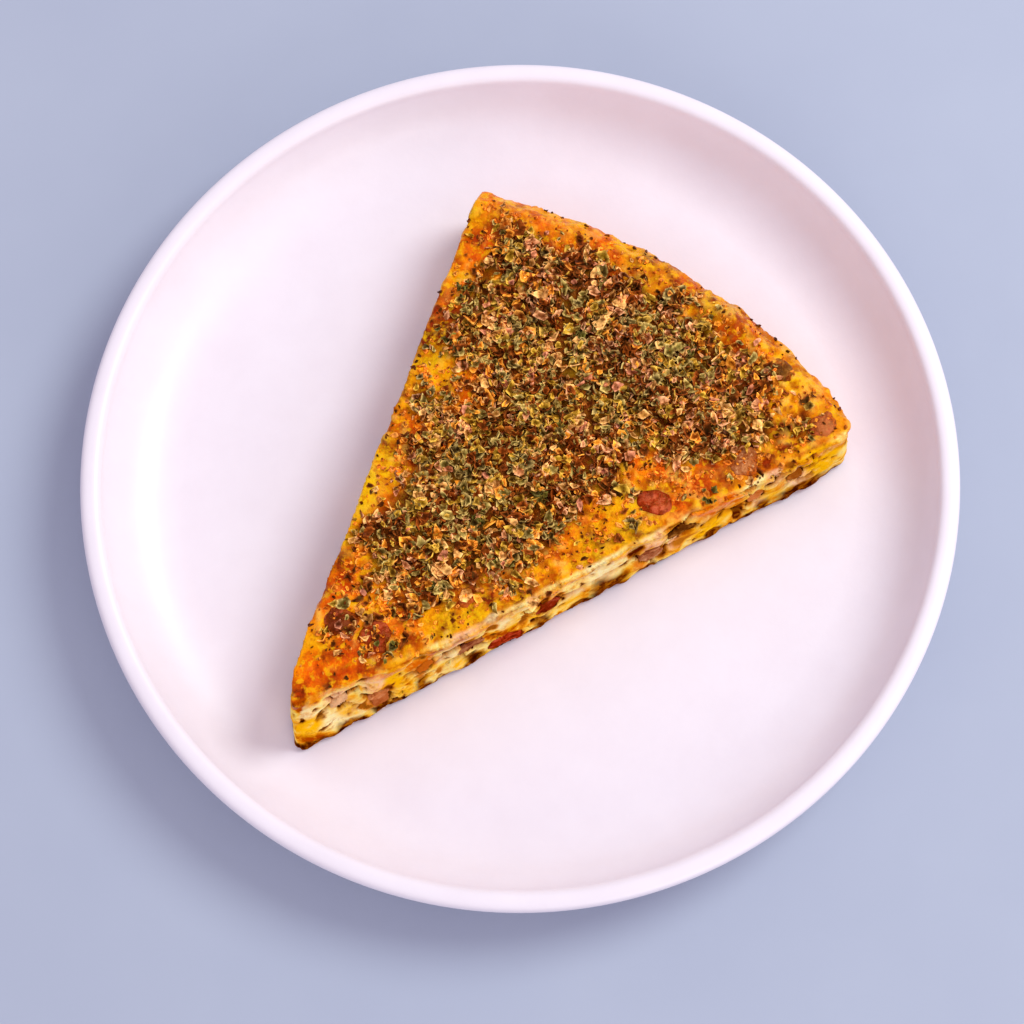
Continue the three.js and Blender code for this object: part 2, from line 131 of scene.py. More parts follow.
BROWN_PATCHES = [
    (-41.6, -51, 3, 0.6), (-48, -54.5, 3, 0.7), (-18, 37.8, 6, 0.6), (-23, 31.8, 4, 0.8),
    (-10, -30, 4, 0.8), (9.5, 51.1, 5, 0.5), (-11, 55, 5, 0.55), (41.4, 39.5, 5, 0.5), (49, 32, 6, 0.6),
    (-39.7, -23.3, 5, 0.6), (-26.8, 6.8, 5, 0.5), (27.8, 46.9, 4, 0.5), (22.3, 48.6, 3, 0.4),
    (23, -3, 3, 0.4), (-35, -40, 4, 0.2), (40.6, 4.3, 5, 0.5), (56.4, 6.5, 6, 0.6), (66.4, 4, 5, 0.6),
    (-3.1, 7.9, 6, 0.4), (-5, 57.5, 5, 0.6), (33, 41.5, 4, 0.3), (69.5, 8.5, 4, 0.35),
    (-12, -32, 4, 1.2), (17, 50, 4, 0.4), (-32, -46, 4, 0.7), (15.5, -17.5, 4, 0.6), (38, 35, 4, 0.4),
    (-18.5, 12.5, 4, 0.5),
]

# Places on the top where hardly any herbs lie, and where they are greener, darker, thinner or lighter
BARE_PATCHES = [
    (-24.5, 9, 5, 1), (-13.5, 15.5, 5, 0.7), (-21.5, 24, 5, 1), (28.5, -3, 7, 1), (35.6, -6.7, 7, 1),
    (41.5, -3.5, 6, 0.9), (18, -13.5, 6, 0.9), (15, -21, 7, 1), (50, 30.5, 5, 1), (-9.5, 53, 6, 1),
    (50.5, -1, 5, 0.6), (60, 4, 6, 0.6), (70, 9, 7, 0.9), (60, 19, 4, 0.5), (5, -26, 5, 0.7),
    (-31.5, -2, 5, 1), (-36.5, -24.5, 5, 1), (31.5, 42.5, 5, 0.8), (10, 53, 4, 0.5), (-16, 46, 4, 0.5),
    (23.5, -12, 5, 1), (20, -17, 5, 1), (-25, 17, 4, 0.6), (-19.5, 20, 6, 1), (-12, 20, 4, 0.8),
    (-12.5, -32.5, 4, 0.7), (-18.5, -38.5, 6, 1), (-27, -2.5, 5, 0.9), (60.5, 12.5, 5, 0.8),
    (46, -3.5, 5, 1), (38.5, 35, 4, 0.8), (-5, 43, 4, 0.6), (24, 43.5, 4, 0.7), (2, -25, 5, 0.5),
    (-18, 29, 4, 0.8), (-33, -38, 5, 1),
]
GREEN_PATCHES = [
    (9.3, 26, 10, 1), (18, 12, 10, 1), (-10.8, -6.6, 10, 0.9), (36.2, 23.5, 8, 0.8),
    (-21.7, -15.7, 7, 0.7), (4, 12, 9, 0.9), (-2, -18, 7, 0.6), (-3, 40, 6, 0.5),
]
DARK_PATCHES = [
    (-38, -29.5, 5, 1), (-27.5, -36.9, 4, 0.7), (-22.4, -40.3, 4, 0.8), (-3.1, 9, 5, 0.6),
    (43.6, 5.8, 4, 1), (27.7, 40.1, 6, 0.7), (33, 35, 5, 0.6), (-35, -40, 3, 0.4), (-3, 24.5, 3, 0.5),
    (25, 27.5, 6, 1.2), (4, 36, 5, 0.9), (31.5, 27.5, 4, 0.7), (10, 43, 6, 0.9), (18, 23, 6, 0.6),
    (41, 20, 7, 0.6), (17, 28.5, 4, 0.6),
]
THIN_PATCHES = [
    (-38.5, -38, 4, 0.8), (-33, -41.5, 4, 0.5), (-1.5, -30, 4, 0.8), (-27, -31.5, 5, 0.8),
    (57, 8, 4, 0.6), (49, 1, 4, 0.5),
]
LIGHT_PATCHES = [
    (-17, -14, 12, 1.3), (54, 15.5, 9, 1), (16.5, -3.5, 6, 1.4), (2.5, -10, 6, 1), (-5, 33, 6, 1.3),
    (31, 12, 5, 0.6), (9.5, 27.5, 4, 1), (-12, 25, 6, 0.9), (-4.5, -24.5, 5, 1), (-12, -25, 5, 1.6),
    (-5, 41.5, 6, 1), (-19, -2.5, 6, 0.8), (52, 4.5, 5, 0.8), (-4.5, 4.5, 5, 0.6),
]

# Marks on the cuts: the place along the cut and its height over the base, half sizes, and strength
RIGHT_MARKS = {
    "yolk": [
        (-66, 10.5, 3, 4.5, 1), (-56, 9, 2.5, 3, 0.9), (-44, 16, 2.2, 7, 1), (-44.5, 5, 3, 3, 0.8),
        (-27, 4, 3, 2.5, 0.7), (35, 8, 5, 5, 1), (64.5, 13, 4.5, 9, 1), (52, 9, 2.5, 4, 0.8),
        (-1, 7, 3, 2.5, 0.7), (15.5, 5, 2.5, 2, 0.6), (-15.5, 14, 2, 3, 0.6),
    ],
    "cream": [
        (-58, 8.5, 5, 4.5, 1), (8.5, 17.5, 5, 8, 1), (-30.5, 16, 3, 5, 0.8), (60, 9, 3, 3, 0.8),
        (-17, 16.5, 2.5, 4, 0.8), (48, 21, 4, 3, 0.7), (0.5, 11, 3, 3.5, 0.8), (-13, 22, 3, 3, 0.7),
        (20, 23, 3, 2.5, 0.7), (-18.5, 24.5, 5, 3, 0.8), (-64.5, 17, 3, 4, 0.8),
        (-12.5, 23.5, 3.5, 2.5, 0.8),
    ],
    "pink": [
        (-57, 17.5, 3.4, 3, 1), (-48.5, 20, 2.4, 5, 0.9), (-27, 21.5, 4, 3, 0.9),
        (-10, 23, 1.8, 3.2, 0.9), (23.2, 17, 1.8, 5.4, 0.9), (27, 10, 2, 3, 0.9),
        (52.5, 19, 2.4, 5, 0.8), (60, 9, 3.4, 3.2, 0.9), (-45.5, 3.6, 1.5, 2.5, 0.8),
        (49, 7, 1.6, 3, 0.7), (19.4, 18, 1.8, 4, 0.8),
    ],
    "orange": [
        (-63.5, 22.5, 5, 2.2, 0.6), (39, 18.5, 6, 5.5, 1), (17.5, 7, 2.2, 2.6, 0.8),
        (-50.6, 7.5, 1.4, 3.2, 0.8), (-37, 20.5, 3, 4.5, 1), (-38.8, 13, 1.5, 5, 0.8),
        (-6, 17, 3.2, 4, 0.7), (54, 12, 2, 4, 0.6),
    ],
    "stain": [
        (-45.3, 12.5, 0.9, 3, 0.8), (-20.2, 17.5, 1.6, 2.4, 0.6), (-12, 12, 1.3, 2.4, 0.6),
        (-2.5, 15.5, 1.4, 2.8, 0.7), (16.6, 17, 2.2, 4, 0.8), (23.4, 8, 1.2, 3.2, 0.9),
        (43.6, 6.5, 1.6, 4, 1), (57.6, 18.5, 1.8, 2.4, 0.6), (29, 9, 2.4, 2.6, 0.5),
        (-53.4, 17.6, 1.2, 1.6, 0.9), (-33.5, 7, 1, 2.2, 0.5), (36.5, 4.6, 1.6, 1.6, 0.6),
        (-37, 22.5, 1.6, 2.2, 0.7), (-7.4, 17.8, 2, 2.8, 0.8), (-26, 17.6, 2.6, 1.6, 0.6),
        (27, 19, 2.4, 2, 0.6), (47.2, 10, 1.2, 3.4, 0.5), (-52, 8, 0.9, 3, 0.6),
    ],
    "base": [
        (-64, 1.2, 4, 1.6, 0.9), (-57.5, 2.2, 3, 2.4, 1), (-49.4, 2.6, 2.8, 4.2, 1),
        (-38.6, 4.2, 2, 5.4, 1), (-25.6, 3.6, 2, 4, 1), (-7.4, 3.4, 2.6, 3, 1), (9.8, 4.6, 4.4, 5.4, 1),
        (19.6, 3, 2, 2.8, 1), (37, 2.4, 2.4, 2.6, 1), (50, 3, 1.8, 3.4, 1), (59.5, 3.2, 6.5, 4, 1),
    ],
}
LEFT_MARKS = {
    "yolk": [
        (-58, 8, 4, 4, 1), (-38, 15, 3, 5, 0.8), (-8, 7, 5, 4, 0.9), (10, 13, 3, 5, 0.8),
        (40, 12, 5, 5, 1), (60, 9, 4, 6, 0.9),
    ],
    "cream": [(-50, 6, 5, 4, 0.9), (-22, 12, 4, 6, 0.9), (24, 9, 5, 5, 0.9), (54, 15, 4, 4, 0.8)],
    "pink": [(-44, 18, 4, 2.6, 0.8), (-6, 16, 4, 3, 0.8), (18, 6, 3, 3, 0.8)],
    "orange": [(-28, 17, 4, 4, 0.9), (6, 17, 4, 3.5, 0.8), (30, 14, 3, 4, 0.8), (48, 5, 3, 3, 0.6)],
    "stain": [
        (-40, 7, 1.6, 3, 0.9), (-25, 6, 1.2, 3, 0.6), (8, 6, 1.8, 2.6, 0.8), (22, 15, 1.6, 2.6, 0.7),
        (42, 6, 1.4, 3, 0.7),
    ],
    "base": [
        (-52, 3, 4, 3.6, 1), (-20, 3.4, 3, 4, 1), (4, 3, 5, 3.4, 1), (34, 3.2, 5, 4.2, 1),
        (58, 2.6, 3, 3, 1),
    ],
}
# Slits in the cuts, from one place along the cut and height to another
RIGHT_SLITS = [
    (-61, 13.4, -53.6, 17.6), (-30, 17.6, -21.5, 13.6), (24.6, 17.4, 33.4, 19), (42, 10, 44.8, 4.5),
    (-9.5, 8, -3, 9), (14, 13, 17.5, 11.8), (-51.5, 13, -46, 14), (51, 15, 56, 17.5),
]
LEFT_SLITS = [(-44, 8, -36, 10), (-12, 9.5, -4, 12.5), (20, 7, 28, 9.5), (44, 14.5, 51, 14)]

# How far a filling piece stands out of the top, and how much of what is higher is pressed in
PIECE_PROUD = 0.3
FLATTENING = 0.65
# The one piece with an even edge and no flakes on it
SMOOTH_PIECE = "tomato_top_1"
# How baked, pale and dark each piece is, where it differs from its kind
PIECE_TINTS = {
    "tomato_top_2": (0, 0, 0.7), "tomato_top_3": (0, 0, 0.15), "tomato_top_4": (0, 0, 0.3),
    "tomato_top_5": (0.35, 0, 0), "tomato_top_6": (0.5, 0.12, 0), "ham_top_1": (0, 0, 0.3),
    "ham_top_2": (0.25, 0, 0.2), "tomato_right_1": (0.85, 0, 0), "tomato_right_3": (0, 0, 0.35),
    "ham_right_1": (0, 0.75, 0), "ham_right_2": (0.35, 0, 0), "ham_right_3": (0, 0, 0.4),
    "ham_right_4": (0, 0, 0.25), "ham_right_5": (0.7, 0, 0), "olive_right_2": (0.4, 0, 0),
}

# How many flakes of each sort lie on the crust
HERB_FLAKES = 6300
CRUST_CRUMBS = 1300
ROSY_BITS = 70
DARK_SPECKS = 300
EDGE_SPECKS = 38
LEAF_CLUSTERS = [
    (-3.5, -22.9), (-15.7, 28.9), (-13, 40.2), (43.3, -9), (-28.4, -43.6), (4.7, -9.6), (15, 30.4),
    (-19.7, -30.1), (9.3, 9.1), (-9.1, -14.2), (38.8, 26.8), (0.5, 44),
]
LEAVES_IN_CLUSTER = 9
# Where the herbs and the crumbs begin and are full, inside the rim, the left cut, the right cut and the tip
HERB_MARGINS = [(6, 12), (3, 8), (6, 14), (34, 46)]
CRUMB_MARGINS = [(1.5, 6), (0.5, 3.5), (2.5, 9), (12, 34)]
FLAKE_SIDES = 6
# Flakes stay on the top: this high over the slice's base, or higher
LOWEST_FLAKE = 14
# Where flakes are drawn, from and to in x and in y, how many at a time, and the height they fall from
FLAKE_FIELD = [(-56, 80), (-66, 70)]
FLAKES_DRAWN = 4000
FALL_HEIGHT = 60

# Name, tones from dark to light, and the lighter tone of the flakes' edges, partly a painted highlight
HERB_KINDS = [
    ("herb_sage", [(20, 19, 0), (50, 48, 2), (94, 91, 30), (150, 140, 72)], (230, 208, 134)),
    ("herb_olive", [(50, 32, 0), (96, 70, 0), (142, 112, 4), (186, 152, 34)], (244, 208, 100)),
    ("herb_straw", [(132, 80, 20), (178, 122, 46), (208, 152, 78), (232, 184, 110)], (250, 212, 144)),
    ("herb_amber", [(100, 34, 0), (154, 66, 0), (206, 110, 2), (244, 162, 40)], (255, 200, 96)),
    ("herb_rosy", [(92, 36, 14), (146, 80, 44), (194, 126, 84), (228, 168, 120)], (250, 202, 156)),
    ("herb_brown", [(14, 1, 0), (34, 5, 0), (62, 13, 0), (104, 40, 2)], (176, 96, 40)),
]
KIND_SHARES = np.array([0.16, 0.18, 0.18, 0.16, 0.08, 0.24])
SHARES_WHERE_GREEN = np.array([0.32, 0.14, -0.02, -0.15, -0.07, -0.02])
SHARES_WHERE_DARK = np.array([-0.05, -0.08, -0.12, -0.04, 0.06, 0.8])
# Unevenness of the herbs' lightness: strength, size and seed
HERB_SHADING = [(0.15, 7.0, 211), (0.5, 3.4, 212), (0.3, 2.0, 213)]
CRUMB_TONES = [(206, 92, 0), (240, 136, 8), (252, 170, 40), (160, 66, 4), (226, 150, 70)]
ROSY_TONES = [(132, 66, 60), (186, 112, 84), (212, 142, 108), (150, 84, 84)]
SPECK_TONES = [(40, 12, 2), (78, 28, 4), (104, 46, 8), (50, 26, 8)]
LEAF_TONES = [(18, 26, 0), (38, 46, 4), (62, 68, 10), (96, 98, 30)]

# Camera, fitted to the plate's outline in the photograph
CAMERA_PLACE = (4.17, -144.58, 523.31)
CAMERA_FORWARD = (-0.01112, 0.25695, -0.96636)
CAMERA_UP = (0.00268, 0.96643, 0.25693)
CAMERA_VIEW_ANGLE = 25

Cut = namedtuple("Cut", "through along out")
Insets = namedtuple("Insets", "rim left right tip")


def cut_line(through, angle, outward):
    """A knife cut as a line: a point on it, its direction, and the direction out of the slice."""
    along = np.array([math.cos(math.radians(angle)), math.sin(math.radians(angle))])
    out = np.array([-along[1], along[0]]) * outward
    return Cut(np.array(through, float), along, out)


LEFT_CUT = cut_line((-31.6, 3.2), 70.4, 1)
RIGHT_CUT = cut_line((12.3, -30.5), 28.2, -1)
TIP_SIDE = cut_line((TIP_SIDE_X, 0), 90, 1)
CORNER_SIDE = cut_line((CORNER_SIDE_X, 0), 90, -1)
TIP_OUT = np.array(TIP_POINT, float) - SLICE_MIDDLE
BLUNT_TIP = Cut(np.array(TIP_POINT, float), None, TIP_OUT / np.linalg.norm(TIP_OUT))
# The way each piece's open face looks, by the word in its name
PIECE_FACING = {"top": (0, 0, 1), "right": (*RIGHT_CUT.out, 0), "left": (*LEFT_CUT.out, 0)}


def linear(red, green, blue):
    """Linear colour from red, green and blue of 0 to 255 as a screen shows them."""
    return tuple(
        c / 255 / 12.92 if c / 255 <= 0.04045 else ((c / 255 + 0.055) / 1.055) ** 2.4
        for c in (red, green, blue))


# Noise

AXIS_KEYS = np.array([73856093, 19349663, 49979687])
SEED_KEY = 83492791


def scrambled(keys):
    """A fixed random value from -1 to 1 for each whole number, as the solid's source draws it."""
    low = np.uint64(0xFFFFFFFF)
    state = ((keys + 0x6D2B79F5) & 0xFFFFFFFF).astype(np.uint64)
    mixed = ((state ^ (state >> np.uint64(15))) * (state | np.uint64(1))) & low
    mixed = ((mixed + (mixed ^ (mixed >> np.uint64(7))) * (mixed | np.uint64(61))) ^ mixed) & low
    return (mixed ^ (mixed >> np.uint64(14))).astype(float) / 2 ** 31 - 1


def smoothstep(low, high, value):
    share = np.clip((np.asarray(value, float) - low) / (high - low), 0, 1)
    return share * share * (3 - 2 * share)


def lumps(points, size, seed):
    """Smooth bumps about size apart, from -1 to 1, at points with two or three coordinates."""
    scaled = points / np.asarray(size, float)
    cell = np.floor(scaled).astype(np.int64)
    share = smoothstep(0, 1, scaled - cell)
    axes = scaled.shape[-1]
    total = 0
    for corner in np.ndindex(*[2] * axes):
        weight = np.prod(np.where(corner, share, 1 - share), axis=-1)
        total = total + weight * scrambled((cell + corner) @ AXIS_KEYS[:axes] + seed * SEED_KEY)
    return total


def bumps(x, y, size, seed):
    """Smooth bumps about size apart in a plane, the same as in the solid."""
    return lumps(np.stack(np.broadcast_arrays(x, y), axis=-1), size, seed)


def rough(points, size, seed, octaves=3):
    """Bumps with finer bumps on them, about -1 to 1."""
    total = 0
    for octave in range(octaves):
        total = total + lumps(points, np.asarray(size, float) / 2 ** octave, seed + octave) / 1.8 ** octave
    return total


# Form of the slice

def at_reach(dx, dy, reach):
    """Places that far from the slice's middle in some directions."""
    return SLICE_MIDDLE[0] + dx * reach, SLICE_MIDDLE[1] + dy * reach


def reach_of_line(cut, dx, dy, shift):
    facing = cut.out[0] * dx + cut.out[1] * dy
    start = (cut.through - SLICE_MIDDLE) @ cut.out
    return np.where(facing > 1e-6, (start + shift) / np.maximum(facing, 1e-6), np.inf)


def reach_of_rim(dx, dy, shift):
    offset = np.array(SLICE_MIDDLE, float) - WHOLE_CENTRE
    lengthwise = offset[0] * dx + offset[1] * dy
    return -lengthwise + np.sqrt(lengthwise ** 2 - offset @ offset + (WHOLE_RADIUS + shift) ** 2)


def seam_share(along, height, seed):
    """How much of the seam's depth a place on a cut has."""
    seam_height = SEAM_HEIGHT + SEAM_WANDER * bumps(along, 8.5, 17, seed + 1)
    strength = smoothstep(-0.3, 0.5, bumps(along, 42, 12, seed + 2))
    return strength * np.exp(-((height - seam_height) / SEAM_WIDTH) ** 2)


def cut_relief(along, height, seed):
    """How deep the crumb and the seam lie in a cut."""
    crumb = CRUMB_DEPTH * (1 + bumps(along, height, CRUMB_SIZE, seed)) / 2
    return crumb + SEAM_DEPTH * seam_share(along, height, seed)


def along_cut(cut, dx, dy):
    """Where some directions from the slice's middle meet a cut, along it."""
    reach = reach_of_line(cut, dx, dy, 0)
    x, y = at_reach(dx, dy, np.where(np.isfinite(reach), reach, 0))
    return cut.along[0] * (x - cut.through[0]) + cut.along[1] * (y - cut.through[1])


def cut_lean(along):
    """How far the top edge of the right cut lies inside its base: more near the tip."""
    return RIGHT_LEAN + TIP_LEAN * (1 - smoothstep(TIP_LEAN_TO, TIP_LEAN_FROM, along))


def outline_reach(dx, dy, height):
    """From the slice's middle to its side wall, in some directions and at some height over its base."""
    rounding = BASE_ROUNDING * (1 - smoothstep(0, BASE_ROUNDING_HEIGHT, height))
    climb = height / TIP_THICKNESS
    right, left = along_cut(RIGHT_CUT, dx, dy), along_cut(LEFT_CUT, dx, dy)
    right_shift = -rounding - climb * cut_lean(right) - cut_relief(right, height, RIGHT_SEED)
    left_shift = -rounding + LEFT_LEAN * (1 - climb) - cut_relief(left, height, LEFT_SEED)
    reaches = np.stack(np.broadcast_arrays(
        reach_of_line(RIGHT_CUT, dx, dy, right_shift),
        reach_of_line(LEFT_CUT, dx, dy, left_shift),
        reach_of_rim(dx, dy, -RIM_BASE_INSET * (1 - smoothstep(0, RIM_BASE_HEIGHT, height))),
        reach_of_line(BLUNT_TIP, dx, dy, -climb * TIP_LEAN),
        reach_of_line(TIP_SIDE, dx, dy, -climb * SIDE_LEAN),
        reach_of_line(CORNER_SIDE, dx, dy, -climb * SIDE_LEAN)))
    return np.sum(reaches ** -CORNER_SHARPNESS, axis=0) ** (-1 / CORNER_SHARPNESS)


def insets(x, y):
    """How far places on the top lie inside the rim and the two cuts, and how far from the tip."""
    def inside(cut):
        return (cut.through[0] - x) * cut.out[0] + (cut.through[1] - y) * cut.out[1]

    from_centre = np.hypot(x - WHOLE_CENTRE[0], y - WHOLE_CENTRE[1])
    from_tip = np.hypot(x - TIP_POINT[0], y - TIP_POINT[1])
    return Insets(WHOLE_RADIUS - from_centre, inside(LEFT_CUT), inside(RIGHT_CUT), from_tip)


def patches(x, y, places):
    """Soft round spots: full at their middles and 0 away from them."""
    return np.max([
        strength * np.exp(-(np.hypot(x - middle_x, y - middle_y) / radius) ** 2)
        for middle_x, middle_y, radius, strength in places], axis=0)


def within(margins, x, y, ragged=0.0):
    """1 well inside the slice's edges, falling to 0 over each edge's margin."""
    return math.prod(smoothstep(*margin, inset + ragged) for margin, inset in zip(margins, insets(x, y)))


def herbs_at(x, y):
    """1 where dried herbs cover the top thickly, 0 where the crust is bare."""
    bare = patches(x, y, BARE_PATCHES) + 0.2 * bumps(x, y, 2.5, 23)
    return within(HERB_MARGINS, x, y, 3 * bumps(x, y, 9, 21)) * smoothstep(0.75, 0.25, bare)


def top_height(x, y):
    """Height of the baked top over the slice's base."""
    inset = insets(x, y)
    thickness = TIP_THICKNESS + (RIM_THICKNESS - TIP_THICKNESS) * inset.tip / SLICE_LENGTH
    rim_roll = RIM_ROLL_DROP * (1 - smoothstep(-2, RIM_ROLL_WIDTH, inset.rim)) ** 2
    puffs = sum(height * bumps(x, y, size, seed) for size, height, seed in PUFFS)
    from_bubble = np.hypot(x - BUBBLE_PLACE[0], y - BUBBLE_PLACE[1]) / BUBBLE_SPREAD
    return thickness - rim_roll + puffs + BUBBLE_HEIGHT * np.exp(-from_bubble ** 2 / 2)


# Meshes

def mesh_object(name, points, triangles, smooth=True):
    """An object from arrays of points in millimetres and of triangles."""
    mesh = bpy.data.meshes.new(name)
    mesh.from_pydata(np.asarray(points, np.float32) * MM, [], triangles, shade_flat=not smooth)
    mesh.validate()
    return placed(name, mesh)


def placed(name, content):
    """A new object in the scene with a mesh, a light or a camera in it."""
    thing = bpy.data.objects.new(name, content)
    bpy.context.scene.collection.objects.link(thing)
    return thing


def closed_rings(rings, steps):
    """Triangles of a closed form, whose points are its rings and then its lower and upper middle."""
    ring = np.arange(rings * steps).reshape(rings, steps)
    after = np.roll(ring, -1, axis=1)
    middle = np.full(steps, ring.size)
    corners = [
        (ring[:-1], after[:-1], ring[1:]), (after[:-1], after[1:], ring[1:]),
        (middle, after[0], ring[0]), (middle + 1, ring[-1], after[-1])]
    return np.concatenate([np.stack(trio, axis=-1).reshape(-1, 3) for trio in corners])


def points_and_normals(mesh):
    """The points of a mesh in millimetres, and their normals."""
    def read(rows, key):
        values = np.empty(len(rows) * 3, np.float32)
        rows.foreach_get(key, values)
        return values.reshape(-1, 3).astype(float)

    return read(mesh.vertices, "co") / MM, read(mesh.vertex_normals, "vector")


def set_points(mesh, points):
    """Moves a mesh's points to places in millimetres."""
    mesh.vertices.foreach_set("co", (points * MM).astype(np.float32).ravel())
    mesh.update()


def set_values(mesh, name, values):
    """Stores one number for each point, which a material reads by its name."""
    attribute = mesh.attributes.new(name, "FLOAT", "POINT")
    attribute.data.foreach_set("value", np.asarray(values, np.float32))


def remeshed(thing, voxel, smoothing=0):
    """Gives an object's mesh an even net of small faces."""
    remesh = thing.modifiers.new("remesh", "REMESH")
    remesh.mode = "VOXEL"
    remesh.voxel_size = voxel * MM
    if smoothing:
        smooth = thing.modifiers.new("smooth", "SMOOTH")
        smooth.iterations = smoothing
    bpy.context.view_layer.update()
    graph = bpy.context.evaluated_depsgraph_get()
    fine = bpy.data.meshes.new_from_object(thing.evaluated_get(graph))
    thing.modifiers.clear()
    thing.data = fine
    fine.polygons.foreach_set("use_smooth", np.ones(len(fine.polygons), bool))
    return thing


def settle(thing, material, slot, nodes=()):
    """Gives a piece its finish, ties it to the root and hides the solids it stands for. The slot is not
    used.
    """
    thing.data.materials.clear()
    thing.data.materials.append(material)
    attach(thing, "root")
    if nodes:
        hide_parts(*nodes)
    return thing


# Materials

WARM_GLOSS = [1.0, 0.56, 0.1, 1]


class Finish:
    """A material under construction. The methods add nodes and return their outputs. What goes into a
    node is a number or list, a tone as a tuple of 0 to 255, another output, or the name of a value that
    the mesh stores."""

    def __init__(self, name):
        self.material = bpy.data.materials.new(name)
        self.material.use_nodes = True
        self.nodes = self.material.node_tree.nodes
        self.shader = self.nodes["Principled BSDF"]
        self.place = self.nodes.new("ShaderNodeTexCoord").outputs["Object"]

    def node(self, kind, sources, **settings):
        node = self.nodes.new("ShaderNode" + kind)
        for name, setting in settings.items():
            setattr(node, name, setting)
        for name, source in sources.items():
            self.feed(source, node.inputs[name])
        return node

    def feed(self, source, socket):
        if isinstance(source, str):
            source = self.node("Attribute", {}, attribute_name=source).outputs["Fac"]
        if isinstance(source, bpy.types.NodeSocket):
            self.material.node_tree.links.new(source, socket)
        else:
            socket.default_value = (*linear(*source), 1) if isinstance(source, tuple) else source

    def set(self, **values):
        """Feeds inputs of the shader."""
        for name, value in values.items():
            self.feed(value, self.shader.inputs[name.replace("_", " ")])

    def noise(self, size, detail=3.0, roughness=0.6, distortion=0.0):
        """Soft noise with features about size millimetres apart."""
        mapping = self.node("Mapping", {"Vector": self.place, "Scale": [1 / (size * MM)] * 3})
        return self.node("TexNoise", {
            "Vector": mapping.outputs["Vector"], "Scale": 1, "Detail": detail, "Roughness": roughness,
            "Distortion": distortion}).outputs["Fac"]

    def ramp(self, source, *stops):
        node = self.node("ValToRGB", {"Fac": source})
        elements = node.color_ramp.elements
        while len(elements) < len(stops):
            elements.new(0.5)
        for element, (place, tone) in zip(elements, stops):
            element.position = place
            element.color = (*linear(*tone), 1)
        return node.outputs["Color"]

    def spread(self, source, low, high, to_low=0, to_high=1):
        """Carries a source's values from low to high over to another range."""
        return self.node("MapRange", {
            "Value": source, "From Min": low, "From Max": high, "To Min": to_low, "To Max": to_high,
        }).outputs["Result"]

    def maths(self, operation, first, second):
        return self.node("Math", {0: first, 1: second}, operation=operation).outputs["Value"]

    def times(self, first, second):
        return self.maths("MULTIPLY", first, second)

    def mix(self, share, first, second, blend="MIX"):
        sources = {0: share, 6: first, 7: second}
        return self.node("Mix", sources, data_type="RGBA", blend_type=blend).outputs[2]

    def coats(self, tone, *layers):
        """Lays tones over a first one, each by its share."""
        for share, over in layers:
            tone = self.mix(share, tone, over)
        return tone

    def bump(self, *layers):
        """Relief from some heights, each with its depth in millimetres."""
        normal = {}
        for height, depth in layers:
            sources = {"Strength": 1, "Distance": depth * MM, "Height": height, **normal}
            normal = {"Normal": self.node("Bump", sources).outputs["Normal"]}
        self.set(**normal)

    def roughness(self, source, low, high):
        self.set(Roughness=self.spread(source, 0.3, 0.7, low, high))


def glaze_finish():
    """Pale satin glaze, very faintly mottled, with an unglazed foot ring."""
    finish = Finish("satin_glaze")
    mottle = finish.noise(14, detail=5)
    fine = finish.noise(1.1, detail=2)
    height = finish.node("SeparateXYZ", {0: finish.place}).outputs["Z"]
    glazed = finish.ramp(mottle, (0.3, (240, 230, 238)), (0.7, (244, 235, 243)))
    unglazed = finish.spread(height, 0.7 * MM, 0.3 * MM)
    finish.set(Base_Color=finish.coats(glazed, (unglazed, (214, 200, 188))))
    finish.set(Coat_Weight=0.15, Coat_Roughness=0.3)
    finish.roughness(fine, 0.36, 0.48)
    finish.bump((mottle, 0.12), (fine, 0.015))
    return finish.material


def crust_tone(finish, middling, fine):
    """Golden crust with yellow and brown places, blisters and freckles, painted shade in its hollows and
    painted shade under the herbs.
    """
    spread, times = finish.spread, finish.times
    broad = finish.noise(8, detail=4, distortion=0.4)
    speckled = finish.noise(2, detail=2)
    return finish.coats(
        finish.ramp(broad, (0.34, (216, 64, 0)), (0.44, (248, 102, 0)), (0.53, (255, 136, 0)),
                    (0.63, (255, 168, 0)), (0.74, (255, 198, 20))),
        (times("yellow", spread(middling, 0.28, 0.5, 0.3, 1.1)), (255, 198, 8)),
        (spread(middling, 0.44, 0.34, 0, 0.5), (255, 188, 8)),
        (times("brown", spread(middling, 0.38, 0.62, 0.2, 1.3)), (116, 24, 0)),
        (times("crumb", 0.6), (255, 200, 84)),
        # Painted shade in the crust's hollows and between its knobs
        (times("hollow", 0.68), (160, 34, 0)),
        (spread(speckled, 0.45, 0.36, 0, 0.45), (190, 48, 0)),
        (spread(speckled, 0.55, 0.64, 0, 0.6), (255, 192, 12)),
        (spread(middling, 0.56, 0.67, 0, 0.4), (132, 26, 0)),
        (spread(fine, 0.63, 0.7, 0, 0.4), (84, 12, 0)),
        # Painted shade under the herbs: the crust turns deep brown where herbs lie, standing in for the
        # flakes' shadow in the gaps
        (times("herbs", spread(middling, 0.3, 0.6, 1, 0.75)), (48, 4, 0)))


